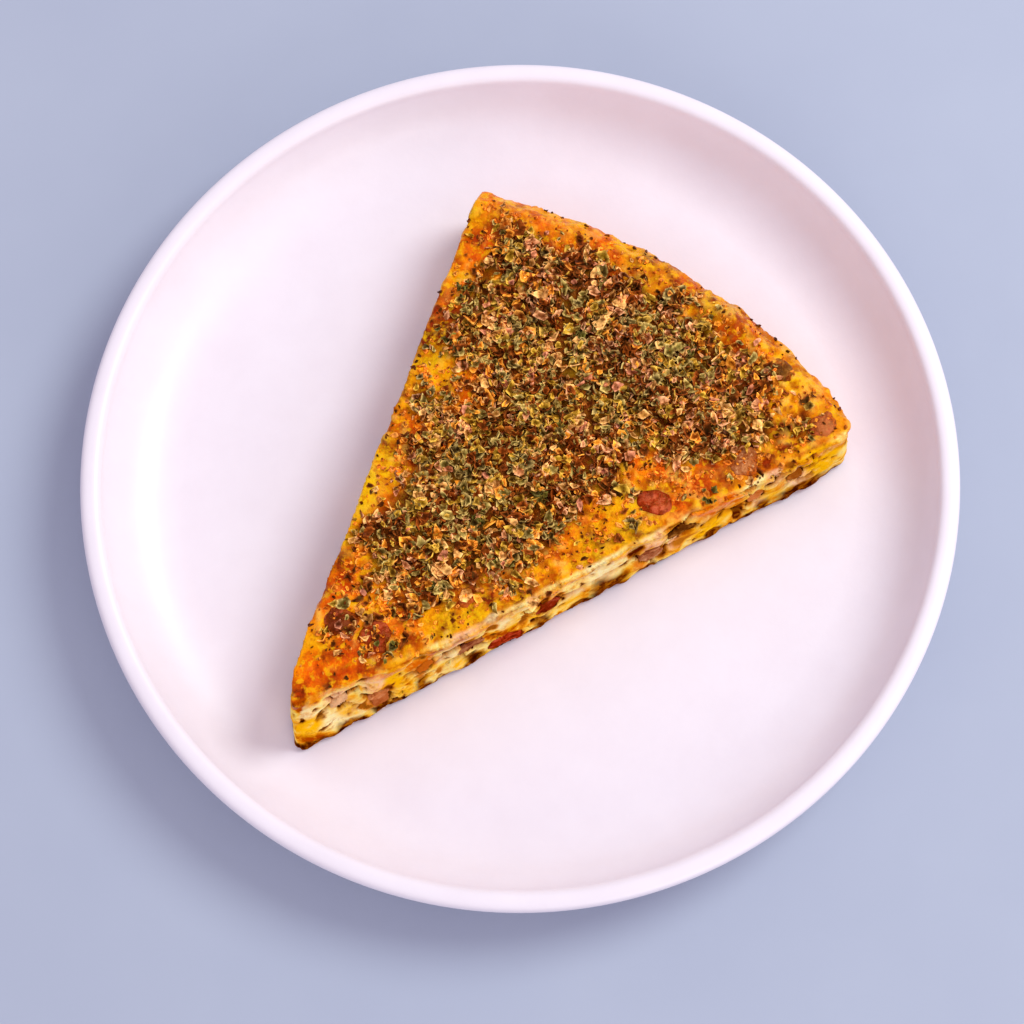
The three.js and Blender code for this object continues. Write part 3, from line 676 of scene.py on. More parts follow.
def crumb_tone(finish, middling):
    """Cream and ochre crumb of the cuts, with blots of other tones, stains, and painted shade in its pores,
    creases, slits and seam.
    """
    spread, times = finish.spread, finish.times
    curds = finish.noise(6.5, detail=5, roughness=0.55, distortion=0.5)
    uneven = spread(finish.noise(1.6, detail=4), 0.36, 0.5, 0.6, 1)
    yolky = finish.maths("MAXIMUM", spread(finish.noise(5), 0.55, 0.66, 0, 0.7), "yolk")
    return finish.coats(
        finish.ramp(curds, (0.35, (178, 72, 0)), (0.42, (248, 164, 26)), (0.49, (255, 210, 88)),
                    (0.57, (255, 232, 140)), (0.68, (252, 176, 30))),
        (times("cream", uneven), (255, 236, 170)),
        (times("pink", uneven), (255, 200, 152)),
        (times(yolky, uneven), (255, 188, 8)),
        (times("orange", uneven), (222, 104, 4)),
        (spread("stain", 0, 0.45), finish.ramp("stain", (0.35, (222, 134, 28)), (0.75, (84, 20, 0)))),
        (spread(middling, 0.56, 0.66, 0, 0.45), (192, 92, 0)),
        # Painted shade: pores, creases, slits, the seam and the groove by the pieces darken to deep brown
        (spread("seam", 0, 0.6), finish.ramp("seam", (0.25, (210, 120, 18)), (0.7, (60, 10, 0)))))


def egg_finish():
    """Baked egg: a browned crust, a cream and ochre crumb at the cuts and a dark base."""
    finish = Finish("baked_egg")
    middling = finish.noise(2.3, detail=5, distortion=0.5)
    fine = finish.noise(0.6)
    browned_base = finish.ramp(middling, (0.38, (56, 10, 0)), (0.5, (116, 48, 0)), (0.62, (172, 102, 8)))
    finish.set(
        Base_Color=finish.coats(
            crumb_tone(finish, middling), ("crust", crust_tone(finish, middling, fine)),
            ("base", browned_base)),
        Specular_IOR_Level=finish.spread("crust", 0.2, 0.9, 0, 0.36), Specular_Tint=WARM_GLOSS,
        Subsurface_Weight=0.12, Subsurface_Scale=0.0012, Subsurface_Radius=[1.0, 0.45, 0.1])
    finish.roughness(middling, 0.2, 0.44)
    finish.bump((middling, 0.7), (fine, 0.2))
    return finish.material


def moist_finish(name, dark, plain, light, other):
    """A moist piece of filling in three tones, partly shifted towards another tone, with dark spots and
    painted glints on the top pieces.
    """
    finish = Finish(name)
    spread, times = finish.spread, finish.times
    broad = finish.noise(2.6, detail=4, distortion=0.6)
    fine = finish.noise(0.6)
    tone = finish.coats(
        finish.ramp(broad, (0.36, dark), (0.5, plain), (0.64, light)),
        (spread(finish.noise(7, detail=2), 0.45, 0.6, 0, 0.6), other),
        (spread(fine, 0.56, 0.7, 0, 0.5), dark),
        ("baked", (204, 104, 18)),
        ("pale", (248, 196, 140)),
        ("dark", (84, 26, 4)),
        ("rim", finish.ramp(fine, (0.4, (96, 22, 0)), (0.6, (214, 96, 8)))),
        (times("gloss", spread(finish.noise(1.9), 0.46, 0.36, 0, 0.6)), dark),
        # Painted glints: light spots on the top pieces stand in for highlights
        (times("gloss", spread(finish.noise(1.4), 0.55, 0.64, 0, 0.6)), light))
    finish.set(
        Base_Color=tone, Specular_IOR_Level=times("gloss", 0.3), Specular_Tint=WARM_GLOSS,
        Subsurface_Weight=0.1, Subsurface_Scale=0.0008, Subsurface_Radius=[1.0, 0.4, 0.3])
    finish.roughness(broad, 0.14, 0.34)
    finish.bump((broad, 0.7), (fine, 0.2))
    return finish.material


def flake_finish(name, tones, edge, edge_share=0.72):
    """Dried flakes whose tone changes from flake to flake, darker in the middle and lighter along their
    edges; the light edges are partly the flakes' own paler rims and partly a painted highlight.
    """
    finish = Finish(name)
    fine = finish.noise(1.3)
    stops = [(i / (len(tones) - 1), tone) for i, tone in enumerate(tones)]
    # Lighter edges: partly paler rims, partly a painted highlight
    rim = finish.times(
        finish.maths("POWER", "edge", 2.6), finish.spread(fine, 0.36, 0.58, 0.2, edge_share))
    tone = finish.coats(
        finish.ramp("tint", *stops), (finish.spread("edge", 0, 1, 0.58, 0), (38, 4, 0)), (rim, edge))
    # A tone over 255 brightens what it multiplies
    shade = finish.ramp(fine, (0.37, (180.6, 134.4, 89)), (0.61, (335.9, 318.3, 297.3)))
    finish.set(Base_Color=finish.mix(1, tone, shade, blend="MULTIPLY"))
    finish.set(Specular_IOR_Level=0.3, Specular_Tint=WARM_GLOSS)
    finish.roughness(fine, 0.34, 0.62)
    finish.bump((fine, 0.12))
    return finish.material


# Plate

def lip_points(steps):
    """The lip's section from outside to inside, a little squarer than a half circle."""
    angles = np.linspace(0, math.pi, steps)[1:-1]
    across, power = np.cos(angles), 2 / LIP_SQUARENESS
    return np.stack([
        PLATE_RADIUS - LIP_RADIUS * (1 - np.sign(across) * np.abs(across) ** power),
        PLATE_HEIGHT - LIP_RADIUS * (1 - np.sin(angles) ** power)], axis=1)


def plate_profile():
    """The plate's half section from the axis underneath, round the lip, to the axis on the floor."""
    lip_height = PLATE_HEIGHT - LIP_RADIUS

    def bezier(ends, steps):
        t = np.linspace(0, 1, steps)[:, None]
        a, b, c, d = (np.array(end, float) for end in ends)
        return (1 - t) ** 3 * a + 3 * t * (1 - t) ** 2 * b + 3 * t ** 2 * (1 - t) * c + t ** 3 * d

    outer_wall = bezier([
        (FOOT_OUTER + FOOT_CHAMFER, FOOT_CHAMFER), (86, 2.2), (97, 8.5), (PLATE_RADIUS, lip_height)], 26)
    inner_wall = bezier([
        (PLATE_RADIUS - 2 * LIP_RADIUS, lip_height), (93.5, 11), (89, FLOOR_TOP + 0.3),
        (WELL_RADIUS, FLOOR_TOP)], 30)
    underside = [(r, FLOOR_UNDERSIDE) for r in (20, 40, FOOT_INNER - FOOT_CHAMFER - 0.4)]
    foot = [
        (FOOT_INNER - FOOT_CHAMFER, FLOOR_UNDERSIDE - 0.15), (FOOT_INNER - 0.3, 0.15),
        (FOOT_INNER + 0.4, 0), (FOOT_OUTER - 0.5, 0), (FOOT_OUTER + 0.1, 0.15),
        (FOOT_OUTER + FOOT_CHAMFER - 0.4, FOOT_CHAMFER - 0.3)]
    floor = [(r, FLOOR_TOP) for r in (60, 40, 20)]
    return np.concatenate([underside, foot, outer_wall, lip_points(18), inner_wall, floor])


def make_plate():
    profile = plate_profile()
    angles = np.arange(PLATE_STEPS) * 2 * math.pi / PLATE_STEPS
    rings = np.empty((len(profile), PLATE_STEPS, 3))
    rings[:, :, 0] = profile[:, :1] * np.cos(angles)
    rings[:, :, 1] = profile[:, :1] * np.sin(angles)
    rings[:, :, 2] = profile[:, 1:]
    points = np.concatenate([rings.reshape(-1, 3), [(0, 0, FLOOR_UNDERSIDE), (0, 0, FLOOR_TOP)]])
    plate = mesh_object("coupe_plate", points, closed_rings(len(profile), PLATE_STEPS))
    return settle(plate, glaze_finish(), "plate_glaze", ["plate"])


# Omelette

def slice_form():
    """The slice's form: rings up the side walls, then over the top to its middle."""
    angles = np.arange(SLICE_DIRECTIONS) * 2 * math.pi / SLICE_DIRECTIONS
    dx, dy = np.cos(angles), np.sin(angles)
    rings = []
    edge_height = top_height(*at_reach(dx, dy, outline_reach(dx, dy, RIM_THICKNESS)))
    for step in range(WALL_STEPS + 1):
        height = edge_height * step / WALL_STEPS
        reach = outline_reach(dx, dy, height)
        rings.append(np.stack([*at_reach(dx, dy, reach), height], axis=1))
    for step in range(1, TOP_STEPS):
        x, y = at_reach(dx, dy, reach * (1 - step / TOP_STEPS))
        rings.append(np.stack([x, y, top_height(x, y)], axis=1))
    middle_height = float(top_height(*SLICE_MIDDLE))
    points = np.concatenate(rings + [[(*SLICE_MIDDLE, 0), (*SLICE_MIDDLE, middle_height)]])
    points[:, 2] += SLICE_BASE
    return mesh_object("omelette_slice", points, closed_rings(len(rings), SLICE_DIRECTIONS))


def slit_distance(along, height, slits):
    """Distance from places on a cut to the nearest of its slits."""
    nearest = np.full(len(along), np.inf)
    for from_along, from_height, to_along, to_height in slits:
        run, rise = to_along - from_along, to_height - from_height
        share = ((along - from_along) * run + (height - from_height) * rise) / (run ** 2 + rise ** 2)
        share = np.clip(share, 0, 1)
        apart = np.hypot(along - from_along - share * run, height - from_height - share * rise)
        nearest = np.minimum(nearest, apart)
    return nearest


def cut_marks(along, height, marks):
    """Blots with fairly sharp edges at the places of some marks."""
    return np.max([
        strength * smoothstep(1.4, 0.6, np.hypot((along - middle) / length, (height - middle_height) / tall))
        for middle, middle_height, length, tall, strength in marks], axis=0)


def side_values(points, over, cut, seed, marks, slits):
    """Marks, slits and seam of one cut at points of the skin, all but the seam with uneven edges."""
    along = (points[:, :2] - cut.through) @ cut.along
    uneven_along = along + 1.3 * lumps(points, 3.4, 301) + 0.6 * lumps(points, 1.5, 303)
    uneven_height = over + 1.1 * lumps(points, 3.0, 302) + 0.6 * lumps(points, 1.3, 304)
    values = {name: cut_marks(uneven_along, uneven_height, places) for name, places in marks.items()}
    wandering = along + 1.2 * lumps(points, 2.8, 306), over + 1.2 * lumps(points, 2.8, 305)
    width = SLIT_WIDTH * (1 + 0.5 * lumps(points, 3.0, 307))
    values["slit"] = smoothstep(1.0, 0.35, slit_distance(*wandering, slits) / width)
    values["seam"] = seam_share(along, over, seed)
    return values


def cut_values(points, over, inset, bare_crumb):
    """Marks, slits and seams of both cuts at points, where the nearer cut counts."""
    right = side_values(points, over, RIGHT_CUT, RIGHT_SEED, RIGHT_MARKS, RIGHT_SLITS)
    left = side_values(points, over, LEFT_CUT, LEFT_SEED, LEFT_MARKS, LEFT_SLITS)
    by_right = inset.right < inset.left
    return {name: bare_crumb * np.where(by_right, right[name], left[name]) for name in right}


def piece_distance(points, trees):
    """Signed distance in millimetres from points to the nearest filling piece, up to 3 mm."""
    reach = 3.0
    distance = np.full(len(points), reach)
    for low, high, tree in trees:
        near = np.all((points > low - reach) & (points < high + reach), axis=1)
        for i in np.nonzero(near)[0]:
            place, normal, _, apart = tree.find_nearest(points[i] * MM)
            inside = (Vector(points[i] * MM) - place).dot(normal) < 0
            distance[i] = min(distance[i], -apart / MM if inside else apart / MM)
    return distance


def piece_box(name):
    """Lower and upper corner of a solid in millimetres."""
    return (np.array(corner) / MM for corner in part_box(name))


def piece_trees():
    graph = bpy.context.evaluated_depsgraph_get()
    return [
        (*piece_box(name), BVHTree.FromObject(node, graph))
        for name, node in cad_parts.items() if name not in ("plate", "omelette")]


class Skin:
    """What lies at each point of the slice's skin: shares, noise, and distances in millimetres."""

    def __init__(self, points, normals):
        x, y = points[:, 0], points[:, 1]
        inset = insets(x, y)
        self.points = points
        self.over = points[:, 2] - SLICE_BASE
        self.depth = top_height(x, y) - self.over
        self.from_side = np.minimum(inset.left, inset.rim)
        self.cover = herbs_at(x, y)
        self.underneath = smoothstep(-0.5, -0.8, normals[:, 2])
        self.upward = smoothstep(0.3, 0.75, normals[:, 2]) * smoothstep(4, 1, self.depth)
        from_edge = inset.right - cut_lean((points[:, :2] - RIGHT_CUT.through) @ RIGHT_CUT.along)
        from_edge += 0.5 * lumps(points, 3.0, 221)
        self.shoulder = self.upward * smoothstep(SHOULDER_WIDTH, 0, from_edge)
        away = np.stack([x - WHOLE_CENTRE[0], y - WHOLE_CENTRE[1]], axis=1)
        away /= np.linalg.norm(away, axis=1)[:, None]
        rim_side = smoothstep(0.5, 0.8, np.sum(normals[:, :2] * away, axis=1)) * smoothstep(5, 3, inset.rim)
        self.crust = np.maximum(self.upward * (1 - smoothstep(0.25, 0.65, self.shoulder)), rim_side)
        self.sideways = smoothstep(0.6, 0.3, np.abs(normals[:, 2])) * (1 - self.crust)
        self.on_cut = cut_values(points, self.over, inset, (1 - self.crust) * (1 - self.underneath))
        self.pores = smoothstep(0.5, 0.85, rough(points, 2.0, 121, 2))
        creases = smoothstep(0.08, 0, np.abs(lumps(points, (9, 9, 3.6), 111)))
        self.creases = creases * (0.6 * smoothstep(0.1, 0.5, lumps(points, (8, 8, 5), 112)))
        self.crumbly = 0.25 + 0.75 * smoothstep(-0.2, 0.4, lumps(points, 9, 146) + 0.5 * self.cover)
        self.crumbs = rough(points, 2.0, 141, 2)
        self.knobby = smoothstep(22, 45, x) * (1 - 0.5 * self.cover)
        self.knobs = rough(points, 4.4, 148, 2)
        low, high = piece_box(SMOOTH_PIECE)
        by_smooth_piece = smoothstep(9, 6, np.linalg.norm((points - (low + high) / 2)[:, :2], axis=1))
        ragged = 0.6 + 0.6 * lumps(points, 2.2, 191) * (1 - 0.9 * by_smooth_piece) - 0.4 * by_smooth_piece
        self.from_piece = piece_distance(points, piece_trees()) + self.upward * ragged
        self.beside_piece = smoothstep(1.0, 0.1, self.from_piece)


def skin_relief(skin):
    """How far each point of the skin is moved out, in millimetres."""
    points = skin.points
    lumpy = rough(points, (4.4, 4.4, 4.0), 101, 2)
    relief = skin.sideways * (LUMP_HEIGHT * lumpy - PORE_DEPTH * skin.pores - CREASE_DEPTH * skin.creases)
    relief = relief - SLIT_DEPTH * skin.on_cut["slit"] - STAIN_DEPTH * skin.on_cut["stain"]
    relief += skin.sideways * smoothstep(4, 1, skin.over) * (0.2 + 0.35 * lumps(points, 2.2, 171))
    crumbs = 0.26 * rough(points, 3.6, 131, 3) + CRUST_CRUMB_HEIGHT * skin.crumbly * skin.crumbs
    blisters = BLISTER_HEIGHT * smoothstep(0.1, 0.75, rough(points, 2.6, 145, 2))
    knobs = KNOB_HEIGHT * skin.knobby * (smoothstep(-0.2, 0.6, skin.knobs) - 0.5)
    relief += skin.crust * (crumbs + blisters + 0.1 * lumps(points, 0.8, 143) + knobs)
    relief -= SHOULDER_DROP * skin.shoulder ** 2
    relief *= 1 - 0.6 * skin.beside_piece
    return (relief - PIECE_GROOVE * smoothstep(0.45, -0.2, skin.from_piece)) * (1 - skin.underneath)


def skin_values(skin):
    """What the egg's finish reads at each point, by name."""
    points, on_cut = skin.points, skin.on_cut
    x, y = points[:, :2].T
    ragged_top = skin.depth + 1.6 * lumps(points, 2.6, 181) + 1.1 * lumps(points, 6.0, 182)
    # Painted shade for the cuts' hollows: pores, creases, the groove by the pieces, the seam and the slits
    seam = 0.6 * skin.pores + 0.75 * skin.creases + 0.6 * skin.beside_piece + 0.5 * on_cut["seam"]
    low_edge = 2.3 + 1.1 * lumps(points, 3.6, 151) + 0.7 * lumps(points, 1.6, 152)
    low_brown = np.maximum(smoothstep(0.5, -0.5, skin.over - low_edge), on_cut["base"])
    blotches = 0.7 * smoothstep(0.3, 0.7, rough(points, 6, 161, 3))
    # The relief's low places, darkened in the finish as painted shade
    hollow = skin.crumbly * smoothstep(-0.05, -0.75, skin.crumbs)
    crumb = skin.crumbly * smoothstep(0.1, 0.8, skin.crumbs)
    return {
        "crust": skin.crust + 0.8 * skin.sideways * smoothstep(3.2, 0.4, ragged_top),
        "seam": skin.sideways * seam + on_cut["slit"],
        "base": skin.underneath + low_brown,
        "brown": patches(x, y, BROWN_PATCHES) + blotches + 0.5 * skin.beside_piece,
        "yellow": patches(x, y, YELLOW_PATCHES) + 0.15 * smoothstep(3, 0.5, skin.from_side),
        # Where herbs cover the top; the finish paints shade under them
        "herbs": skin.cover * skin.upward,
        "hollow": hollow + 0.7 * skin.knobby * smoothstep(-0.25, -0.7, skin.knobs),
        "crumb": crumb + 0.8 * skin.knobby * smoothstep(0.2, 0.8, skin.knobs),
        **{name: on_cut[name] for name in ("yolk", "cream", "pink", "orange", "stain")},
    }


def make_omelette():
    omelette = remeshed(slice_form(), SLICE_VOXEL)
    mesh = omelette.data
    points, normals = points_and_normals(mesh)
    skin = Skin(points, normals)
    shaped = points + normals * skin_relief(skin)[:, None]
    shaped[:, 2] -= REST_GAP * smoothstep(1.5, 0, skin.over)
    set_points(mesh, shaped)
    for name, value in skin_values(skin).items():
        set_values(mesh, name, np.clip(value, 0, 1))
    return settle(omelette, egg_finish(), "baked_egg", ["omelette"])


# Filling pieces

def make_piece(node, material, slot, seed):
    """A finer copy of a piece's solid, spread unevenly into the egg round it and kept flush with it."""
    piece = remeshed(placed(node.name + "_fine", node.data.copy()), PIECE_VOXEL, smoothing=6)
    mesh = piece.data
    points, normals = points_and_normals(mesh)
    side = node.name.split("_")[1]
    facing = smoothstep(0.3, 0.9, normals @ np.array(PIECE_FACING[side], float))
    low, high = piece_box(node.name)
    from_middle = np.linalg.norm((2 * points - low - high)[:, :2] / (high - low)[:2], axis=1)
    on_top = side == "top"
    smooth_one = node.name == SMOOTH_PIECE
    unevenness = 0.15 if smooth_one else 0.9
    growth = (0.4 if smooth_one else 0.45 + 0.5 * on_top) + unevenness * rough(points, 3.6, seed, 3)
    growth = growth * (1 - 0.8 * facing) + unevenness * 0.3 * rough(points, 1.7, seed + 7, 2)
    points = points + normals * growth[:, None]
    rim = np.zeros(len(points))
    if on_top:
        worn = from_middle + 0.3 * lumps(points, 2.4, seed + 3) + 0.15 * lumps(points, 1.1, seed + 4)
        points[:, 2] -= (0.1 if smooth_one else 0.7) * smoothstep(0.5, 1.0, worn)
        proud = points[:, 2] - SLICE_BASE - top_height(points[:, 0], points[:, 1]) - PIECE_PROUD
        points[:, 2] -= FLATTENING * np.maximum(proud, 0)
        rim = smoothstep(0.5, 1.0, worn) * (not smooth_one)
    set_points(mesh, points)
    baked, pale, dark = PIECE_TINTS.get(node.name, (0, 0, 0))
    # gloss marks the top pieces: their specular level, their dark spots and their painted glints
    values = {"rim": 0.8 * rim, "gloss": on_top, "baked": baked, "pale": pale, "dark": dark}
    for name, value in values.items():
        set_values(mesh, name, value + np.zeros(len(points)))
    return settle(piece, material, slot, [node.name])


def make_pieces():
    finishes = {
        "tomato": moist_finish("roast_tomato", (104, 20, 0), (168, 46, 12), (206, 92, 58), (132, 42, 6)),
        "ham": moist_finish("cooked_ham", (134, 62, 30), (206, 128, 78), (244, 178, 122), (150, 72, 44)),
        "olive": moist_finish("dark_vegetable", (64, 24, 2), (120, 66, 14), (180, 118, 48), (88, 40, 6)),
    }
    pieces = []
    for seed, (name, node) in enumerate(sorted(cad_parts.items())):
        kind = name.split("_")[0]
        if kind in finishes:
            pieces.append(make_piece(node, finishes[kind], kind, 200 + 10 * seed))
    return pieces


# Scattered herbs, crumbs and specks

def flake_triangles():
    """One flake: a top fan, a bottom fan and the edge between their rings."""
    sides = FLAKE_SIDES
    faces = []
    for i in range(sides):
        after = (i + 1) % sides
        faces += [
            (2 * sides, i, after), (2 * sides + 1, sides + after, sides + i),
            (i, sides + i, sides + after), (i, sides + after, after)]
    return np.array(faces)


def turned(points, spin, tilt_x, tilt_y, normals):
    """Flakes spun about their own axis, tilted, and then laid on the surface's normal."""
    def rotate(a, b, angle):
        cos, sin = np.cos(angle)[:, None], np.sin(angle)[:, None]
        first, second = points[:, :, a].copy(), points[:, :, b].copy()
        points[:, :, a] = first * cos - second * sin
        points[:, :, b] = first * sin + second * cos

    rotate(1, 2, tilt_x)
    rotate(2, 0, tilt_y)
    rotate(0, 1, spin)
    across = np.cross(np.array([0.0, 1.0, 0.0]), normals)
    across /= np.linalg.norm(across, axis=1)[:, None]
    axes = np.stack([across, np.cross(normals, across), normals], axis=1)
    return np.einsum("fpi,fij->fpj", points, axes)


def flakes(name, material, places, normals, lengths, thickness, tilt, rng, lighter=0.0, cupped=0.45):
    """One joined mesh of many uneven flakes, each with its own tint, drawn lighter or darker by place."""
    count = len(places)
    turn = 2 * math.pi
    angles = (np.arange(FLAKE_SIDES) + rng.uniform(-0.4, 0.4, (count, FLAKE_SIDES))) * turn / FLAKE_SIDES
    radii = rng.uniform(0.6, 1.2, (count, FLAKE_SIDES))
    half_length = lengths[:, None] / 2
    half_width = half_length * rng.uniform(0.38, 0.85, (count, 1))
    ring = np.stack([np.cos(angles) * radii * half_length, np.sin(angles) * radii * half_width], axis=2)
    curl = rng.uniform(-0.3, 1.0, (count, 1)) * cupped / np.maximum(half_length, 0.3)
    lift = curl * ring[:, :, 0] ** 2 + rng.normal(0, 0.05, ring.shape[:2]) * half_length
    half_thick = (thickness * rng.uniform(0.6, 1.4, count))[:, None]
    top = np.concatenate([ring, (lift + half_thick)[:, :, None]], axis=2)
    bottom = np.concatenate([ring * 0.92, (lift - half_thick)[:, :, None]], axis=2)
    crown = np.zeros((count, 2, 3))
    crown[:, 0, 2] = half_thick[:, 0] * rng.uniform(0.3, 1.7, count)
    crown[:, 1, 2] = -half_thick[:, 0]
    points = np.concatenate([top, bottom, crown], axis=1)
    spin = rng.uniform(0, turn, count)
    points = turned(points, spin, *rng.normal(0, tilt, (2, count)), normals) + places[:, None, :]
    per_flake = points.shape[1]
    starts = np.arange(count)[:, None, None] * per_flake
    triangles = (flake_triangles()[None] + starts).reshape(-1, 3)
    thing = mesh_object(name, points.reshape(-1, 3), triangles, smooth=False)
    tint = np.clip(rng.uniform(-0.12, 1.12, count) + lighter, 0, 1)
    set_values(thing.data, "tint", np.repeat(tint, per_flake))
    set_values(thing.data, "edge", np.tile([1.0] * FLAKE_SIDES + [0.7] * FLAKE_SIDES + [0, 0], count))
    return settle(thing, material, "baked_egg")


def on_surface(trees, x, y, rng):
    """Places and normals on the topmost skin below some points, seldom on the filling pieces."""
    places, normals = [], []
    down = Vector((0, 0, -1))
    for px, py in zip(x, y):
        best = None
        for tree, chance in trees:
            place, normal, _, _ = tree.ray_cast(Vector((px * MM, py * MM, FALL_HEIGHT * MM)), down)
            if place is not None and (best is None or place.z > best[0].z):
                best = (place, normal, chance)
        if best is None or best[1].z < 0.5 or best[0].z < (SLICE_BASE + LOWEST_FLAKE) * MM:
            continue
        if rng.uniform() > best[2]:
            continue
        places.append(tuple(best[0] / MM))
        normals.append(tuple(best[1]))
    return np.array(places), np.array(normals)


def scatter(rng, count, chance):
    """Random places on the top, taken with a chance that depends on the place."""
    xs, ys = [], []
    while len(xs) < count:
        x, y = (rng.uniform(*ends, FLAKES_DRAWN) for ends in FLAKE_FIELD)
        taken = rng.uniform(0, 1, FLAKES_DRAWN) < chance(x, y)
        xs.extend(x[taken])
        ys.extend(y[taken])
    return np.array(xs[:count]), np.array(ys[:count])


def herb_clumps(x, y):
    """1 where herbs lie in a heap and 0 in the gaps between heaps."""
    return smoothstep(-0.55, 0.45, 0.7 * bumps(x, y, 5, 31) + 0.4 * bumps(x, y, 2.6, 37))


def herb_chance(x, y):
    """Thick herbs in the middle, thinning out unevenly towards the bare margins."""
    thick = herbs_at(x, y) * (0.35 + 0.65 * herb_clumps(x, y))
    return np.maximum(thick, 0.4 * patches(x, y, THIN_PATCHES)) + 0.04 * within(CRUMB_MARGINS, x, y)


def crumb_chance(x, y):
    """Crumbs of crust, most of them where the herbs thin out."""
    uneven = 0.55 + 0.45 * bumps(x, y, 4, 35)
    return within(CRUMB_MARGINS, x, y) * (1 - 0.72 * herbs_at(x, y)) * uneven


def speck_chance(x, y):
    """Dark specks in groups, up to near the edges."""
    inset = insets(x, y)
    inside = (inset.rim > 0.4) & (inset.left > 0.2) & (inset.right > 1.5) & (inset.tip > 2)
    return inside * (1 - 0.8 * herbs_at(x, y)) * (0.15 + 0.85 * (bumps(x, y, 5, 33) > 0.15))


def edge_places(rng, count):
    """Places just inside the top edge, along the left cut and the rim."""
    share = rng.uniform(0, 1, count)
    angle = np.radians(np.where(share < 0.45, 96 + 140 * share / 0.45, 2 + 94 * (share - 0.45) / 0.55))
    dx, dy = np.cos(angle), np.sin(angle)
    reach = outline_reach(dx, dy, RIM_THICKNESS) - rng.uniform(0.4, 1.0, count)
    return at_reach(dx, dy, reach)


def herb_kinds(rng, places):
    """Draws each flake's kind: greener in some patches and browner in others, in small groups alike."""
    x, y = places[:, :2].T
    green = patches(x, y, GREEN_PATCHES)[:, None]
    dark = patches(x, y, DARK_PATCHES)[:, None]
    groups = np.stack([
        0.6 * lumps(places, 8.0, seed) + 0.9 * lumps(places, 3.6, seed + 10)
        for seed in range(191, 197)], axis=1)
    weights = KIND_SHARES + green * SHARES_WHERE_GREEN + dark * SHARES_WHERE_DARK
    weights = np.maximum(weights, 0.01) * np.exp(1.8 * groups)
    limits = np.cumsum(weights, axis=1) / weights.sum(axis=1, keepdims=True)
    return np.sum(rng.uniform(0, 1, (len(places), 1)) > limits, axis=1)


def make_herbs(trees):
    rng = np.random.default_rng(20)
    places, normals = on_surface(trees, *scatter(rng, HERB_FLAKES, herb_chance), rng)
    x, y = places[:, :2].T
    heap = herbs_at(x, y) * (0.35 + 1.5 * herb_clumps(x, y))
    places[:, 2] += 0.1 + rng.uniform(0, 1, len(places)) * heap
    lengths = np.clip(rng.lognormal(0.8, 0.36, len(places)), 0.9, 4.4)
    lighter = 0.1 + sum(share * lumps(places, size, seed) for share, size, seed in HERB_SHADING)
    lighter += 0.36 * patches(x, y, LIGHT_PATCHES) - 0.32 * patches(x, y, DARK_PATCHES)
    kinds = herb_kinds(rng, places)
    for kind, (name, tones, edge) in enumerate(HERB_KINDS):
        own = kinds == kind
        flakes(
            name, flake_finish(name, tones, edge), places[own], normals[own], lengths[own],
            thickness=0.14, tilt=0.5, rng=rng, lighter=lighter[own], cupped=0.8)


def make_crumbs(trees):
    rng = np.random.default_rng(24)
    golden = flake_finish("crust_crumbs", CRUMB_TONES, (250, 184, 84), edge_share=0.5)
    places, normals = on_surface(trees, *scatter(rng, CRUST_CRUMBS, crumb_chance), rng)
    lengths = np.clip(rng.lognormal(0.1, 0.35, len(places)), 0.6, 2.4)
    flakes("crust_crumbs", golden, places, normals, lengths, 0.28, 0.45, rng)
    rosy = flake_finish("rosy_bits", ROSY_TONES, (226, 164, 128))
    places, normals = on_surface(trees, *scatter(rng, ROSY_BITS, herb_chance), rng)
    places[:, 2] += rng.uniform(0.4, 1.2, len(places))
    flakes("rosy_bits", rosy, places, normals, rng.uniform(1.8, 3.6, len(places)), 0.35, 0.3, rng)


def make_specks(trees):
    rng = np.random.default_rng(21)
    dark = flake_finish("speck_dark", SPECK_TONES, (130, 66, 20), edge_share=0.4)
    places, normals = on_surface(trees, *scatter(rng, DARK_SPECKS, speck_chance), rng)
    places[:, 2] += 0.06
    lengths = np.clip(rng.lognormal(-0.3, 0.42, len(places)), 0.35, 1.8)
    flakes("crust_specks", dark, places, normals, lengths, 0.12, 0.25, rng)
    places, normals = on_surface(trees, *edge_places(rng, EDGE_SPECKS), rng)
    flakes("edge_specks", dark, places, normals, rng.uniform(0.7, 1.6, len(places)), 0.22, 0.3, rng)


def make_leaves(trees):
    rng = np.random.default_rng(22)
    middles = np.repeat(np.array(LEAF_CLUSTERS), LEAVES_IN_CLUSTER, axis=0)
    places, normals = on_surface(trees, *(middles + rng.normal(0, 1.2, middles.shape)).T, rng)
    places[:, 2] += rng.uniform(0.5, 1.4, len(places))
    green = flake_finish("leaf_green", LEAF_TONES, (150, 148, 84), edge_share=0.5)
    flakes("green_leaves", green, places, normals, rng.uniform(1.2, 2.6, len(places)), 0.14, 0.6, rng)


# Stage, light and camera

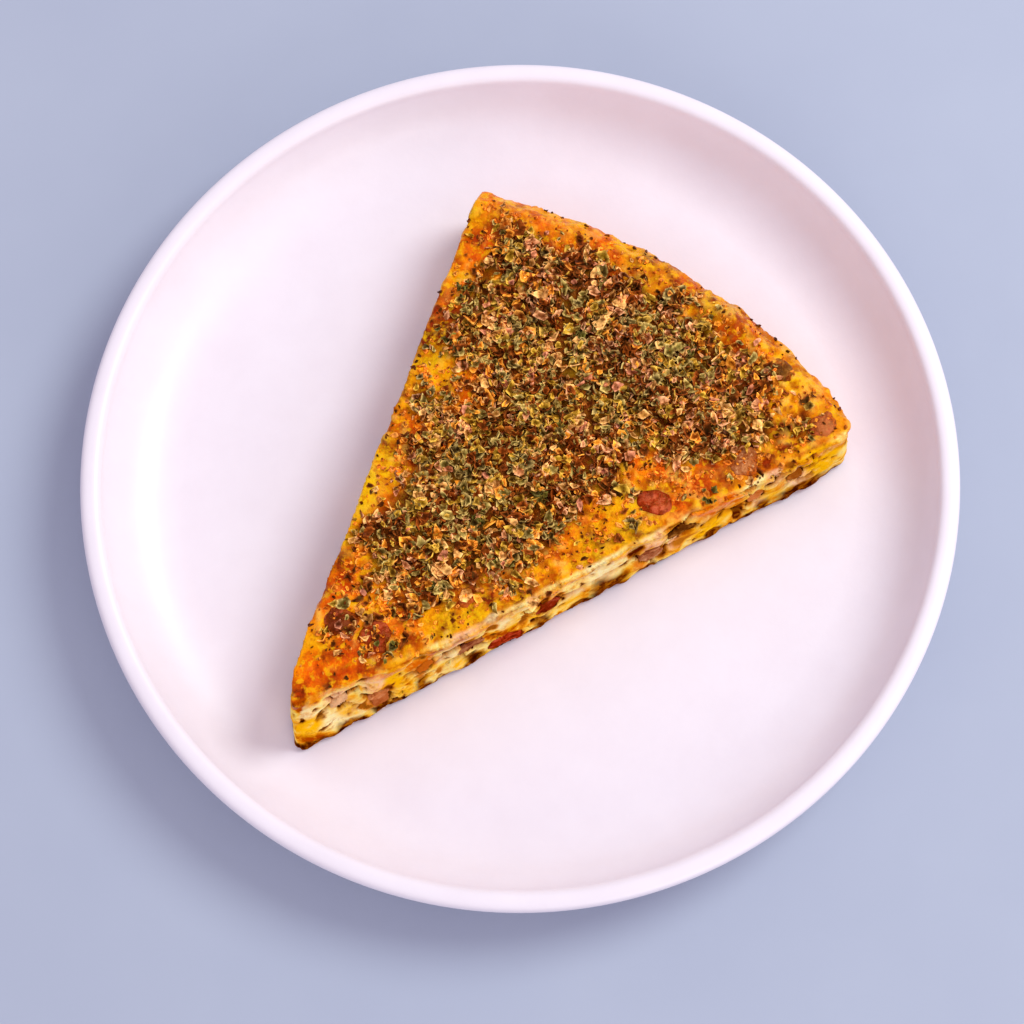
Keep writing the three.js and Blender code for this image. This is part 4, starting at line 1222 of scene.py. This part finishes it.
def make_floor():
    bpy.ops.mesh.primitive_plane_add(size=6, location=(0, 0, -0.1 * MM))
    floor = bpy.context.object
    floor.name = "floor"
    finish = Finish("pale_floor")
    tone = finish.ramp(finish.noise(60), (0.3, (172, 180, 200)), (0.7, (176, 184, 203)))
    finish.set(Base_Color=tone, Roughness=0.8)
    floor.data.materials.append(finish.material)


def area_light(name, azimuth, elevation, distance, size, power, colour):
    light = bpy.data.lights.new(name, "AREA")
    light.shape = "DISK"
    light.size = size
    light.energy = power
    light.color = colour
    lamp = placed(name, light)
    a, e = math.radians(azimuth), math.radians(elevation)
    away = Vector((math.cos(a) * math.cos(e), math.sin(a) * math.cos(e), math.sin(e)))
    lamp.location = away * distance
    lamp.rotation_euler = away.to_track_quat("Z", "Y").to_euler()


def make_light():
    world = bpy.data.worlds.new("studio")
    world.use_nodes = True
    background = world.node_tree.nodes["Background"]
    background.inputs["Color"].default_value = (1.0, 0.93, 1.07, 1)
    background.inputs["Strength"].default_value = 0.665
    bpy.context.scene.world = world
    area_light("key", 28, 50, distance=1.3, size=0.62, power=9.2, colour=(0.98, 1.03, 0.98))
    area_light("fill", -66, 24, distance=1.6, size=1.0, power=5.4, colour=(1.0, 0.98, 0.95))


def make_camera():
    camera = bpy.data.cameras.new("camera")
    camera.angle = math.radians(CAMERA_VIEW_ANGLE)
    eye = placed("camera", camera)
    backward = -Vector(CAMERA_FORWARD).normalized()
    right = Vector(CAMERA_UP).cross(backward).normalized()
    up = backward.cross(right)
    turn = Matrix((right, up, backward)).transposed().to_4x4()
    eye.matrix_world = Matrix.Translation(Vector(CAMERA_PLACE) * MM) @ turn
    bpy.context.scene.camera = eye
    bpy.context.scene.view_settings.view_transform = "Standard"


make_camera()
make_light()
make_floor()
make_plate()
slice_piece = make_omelette()
pieces = make_pieces()
graph = bpy.context.evaluated_depsgraph_get()
trees = [(BVHTree.FromObject(slice_piece, graph), 1)]
for piece in pieces:
    if "_top_" in piece.name:
        flake_share = 0 if SMOOTH_PIECE in piece.name else 0.6
        trees.append((BVHTree.FromObject(piece, graph), flake_share))
make_herbs(trees)
make_crumbs(trees)
make_specks(trees)
make_leaves(trees)
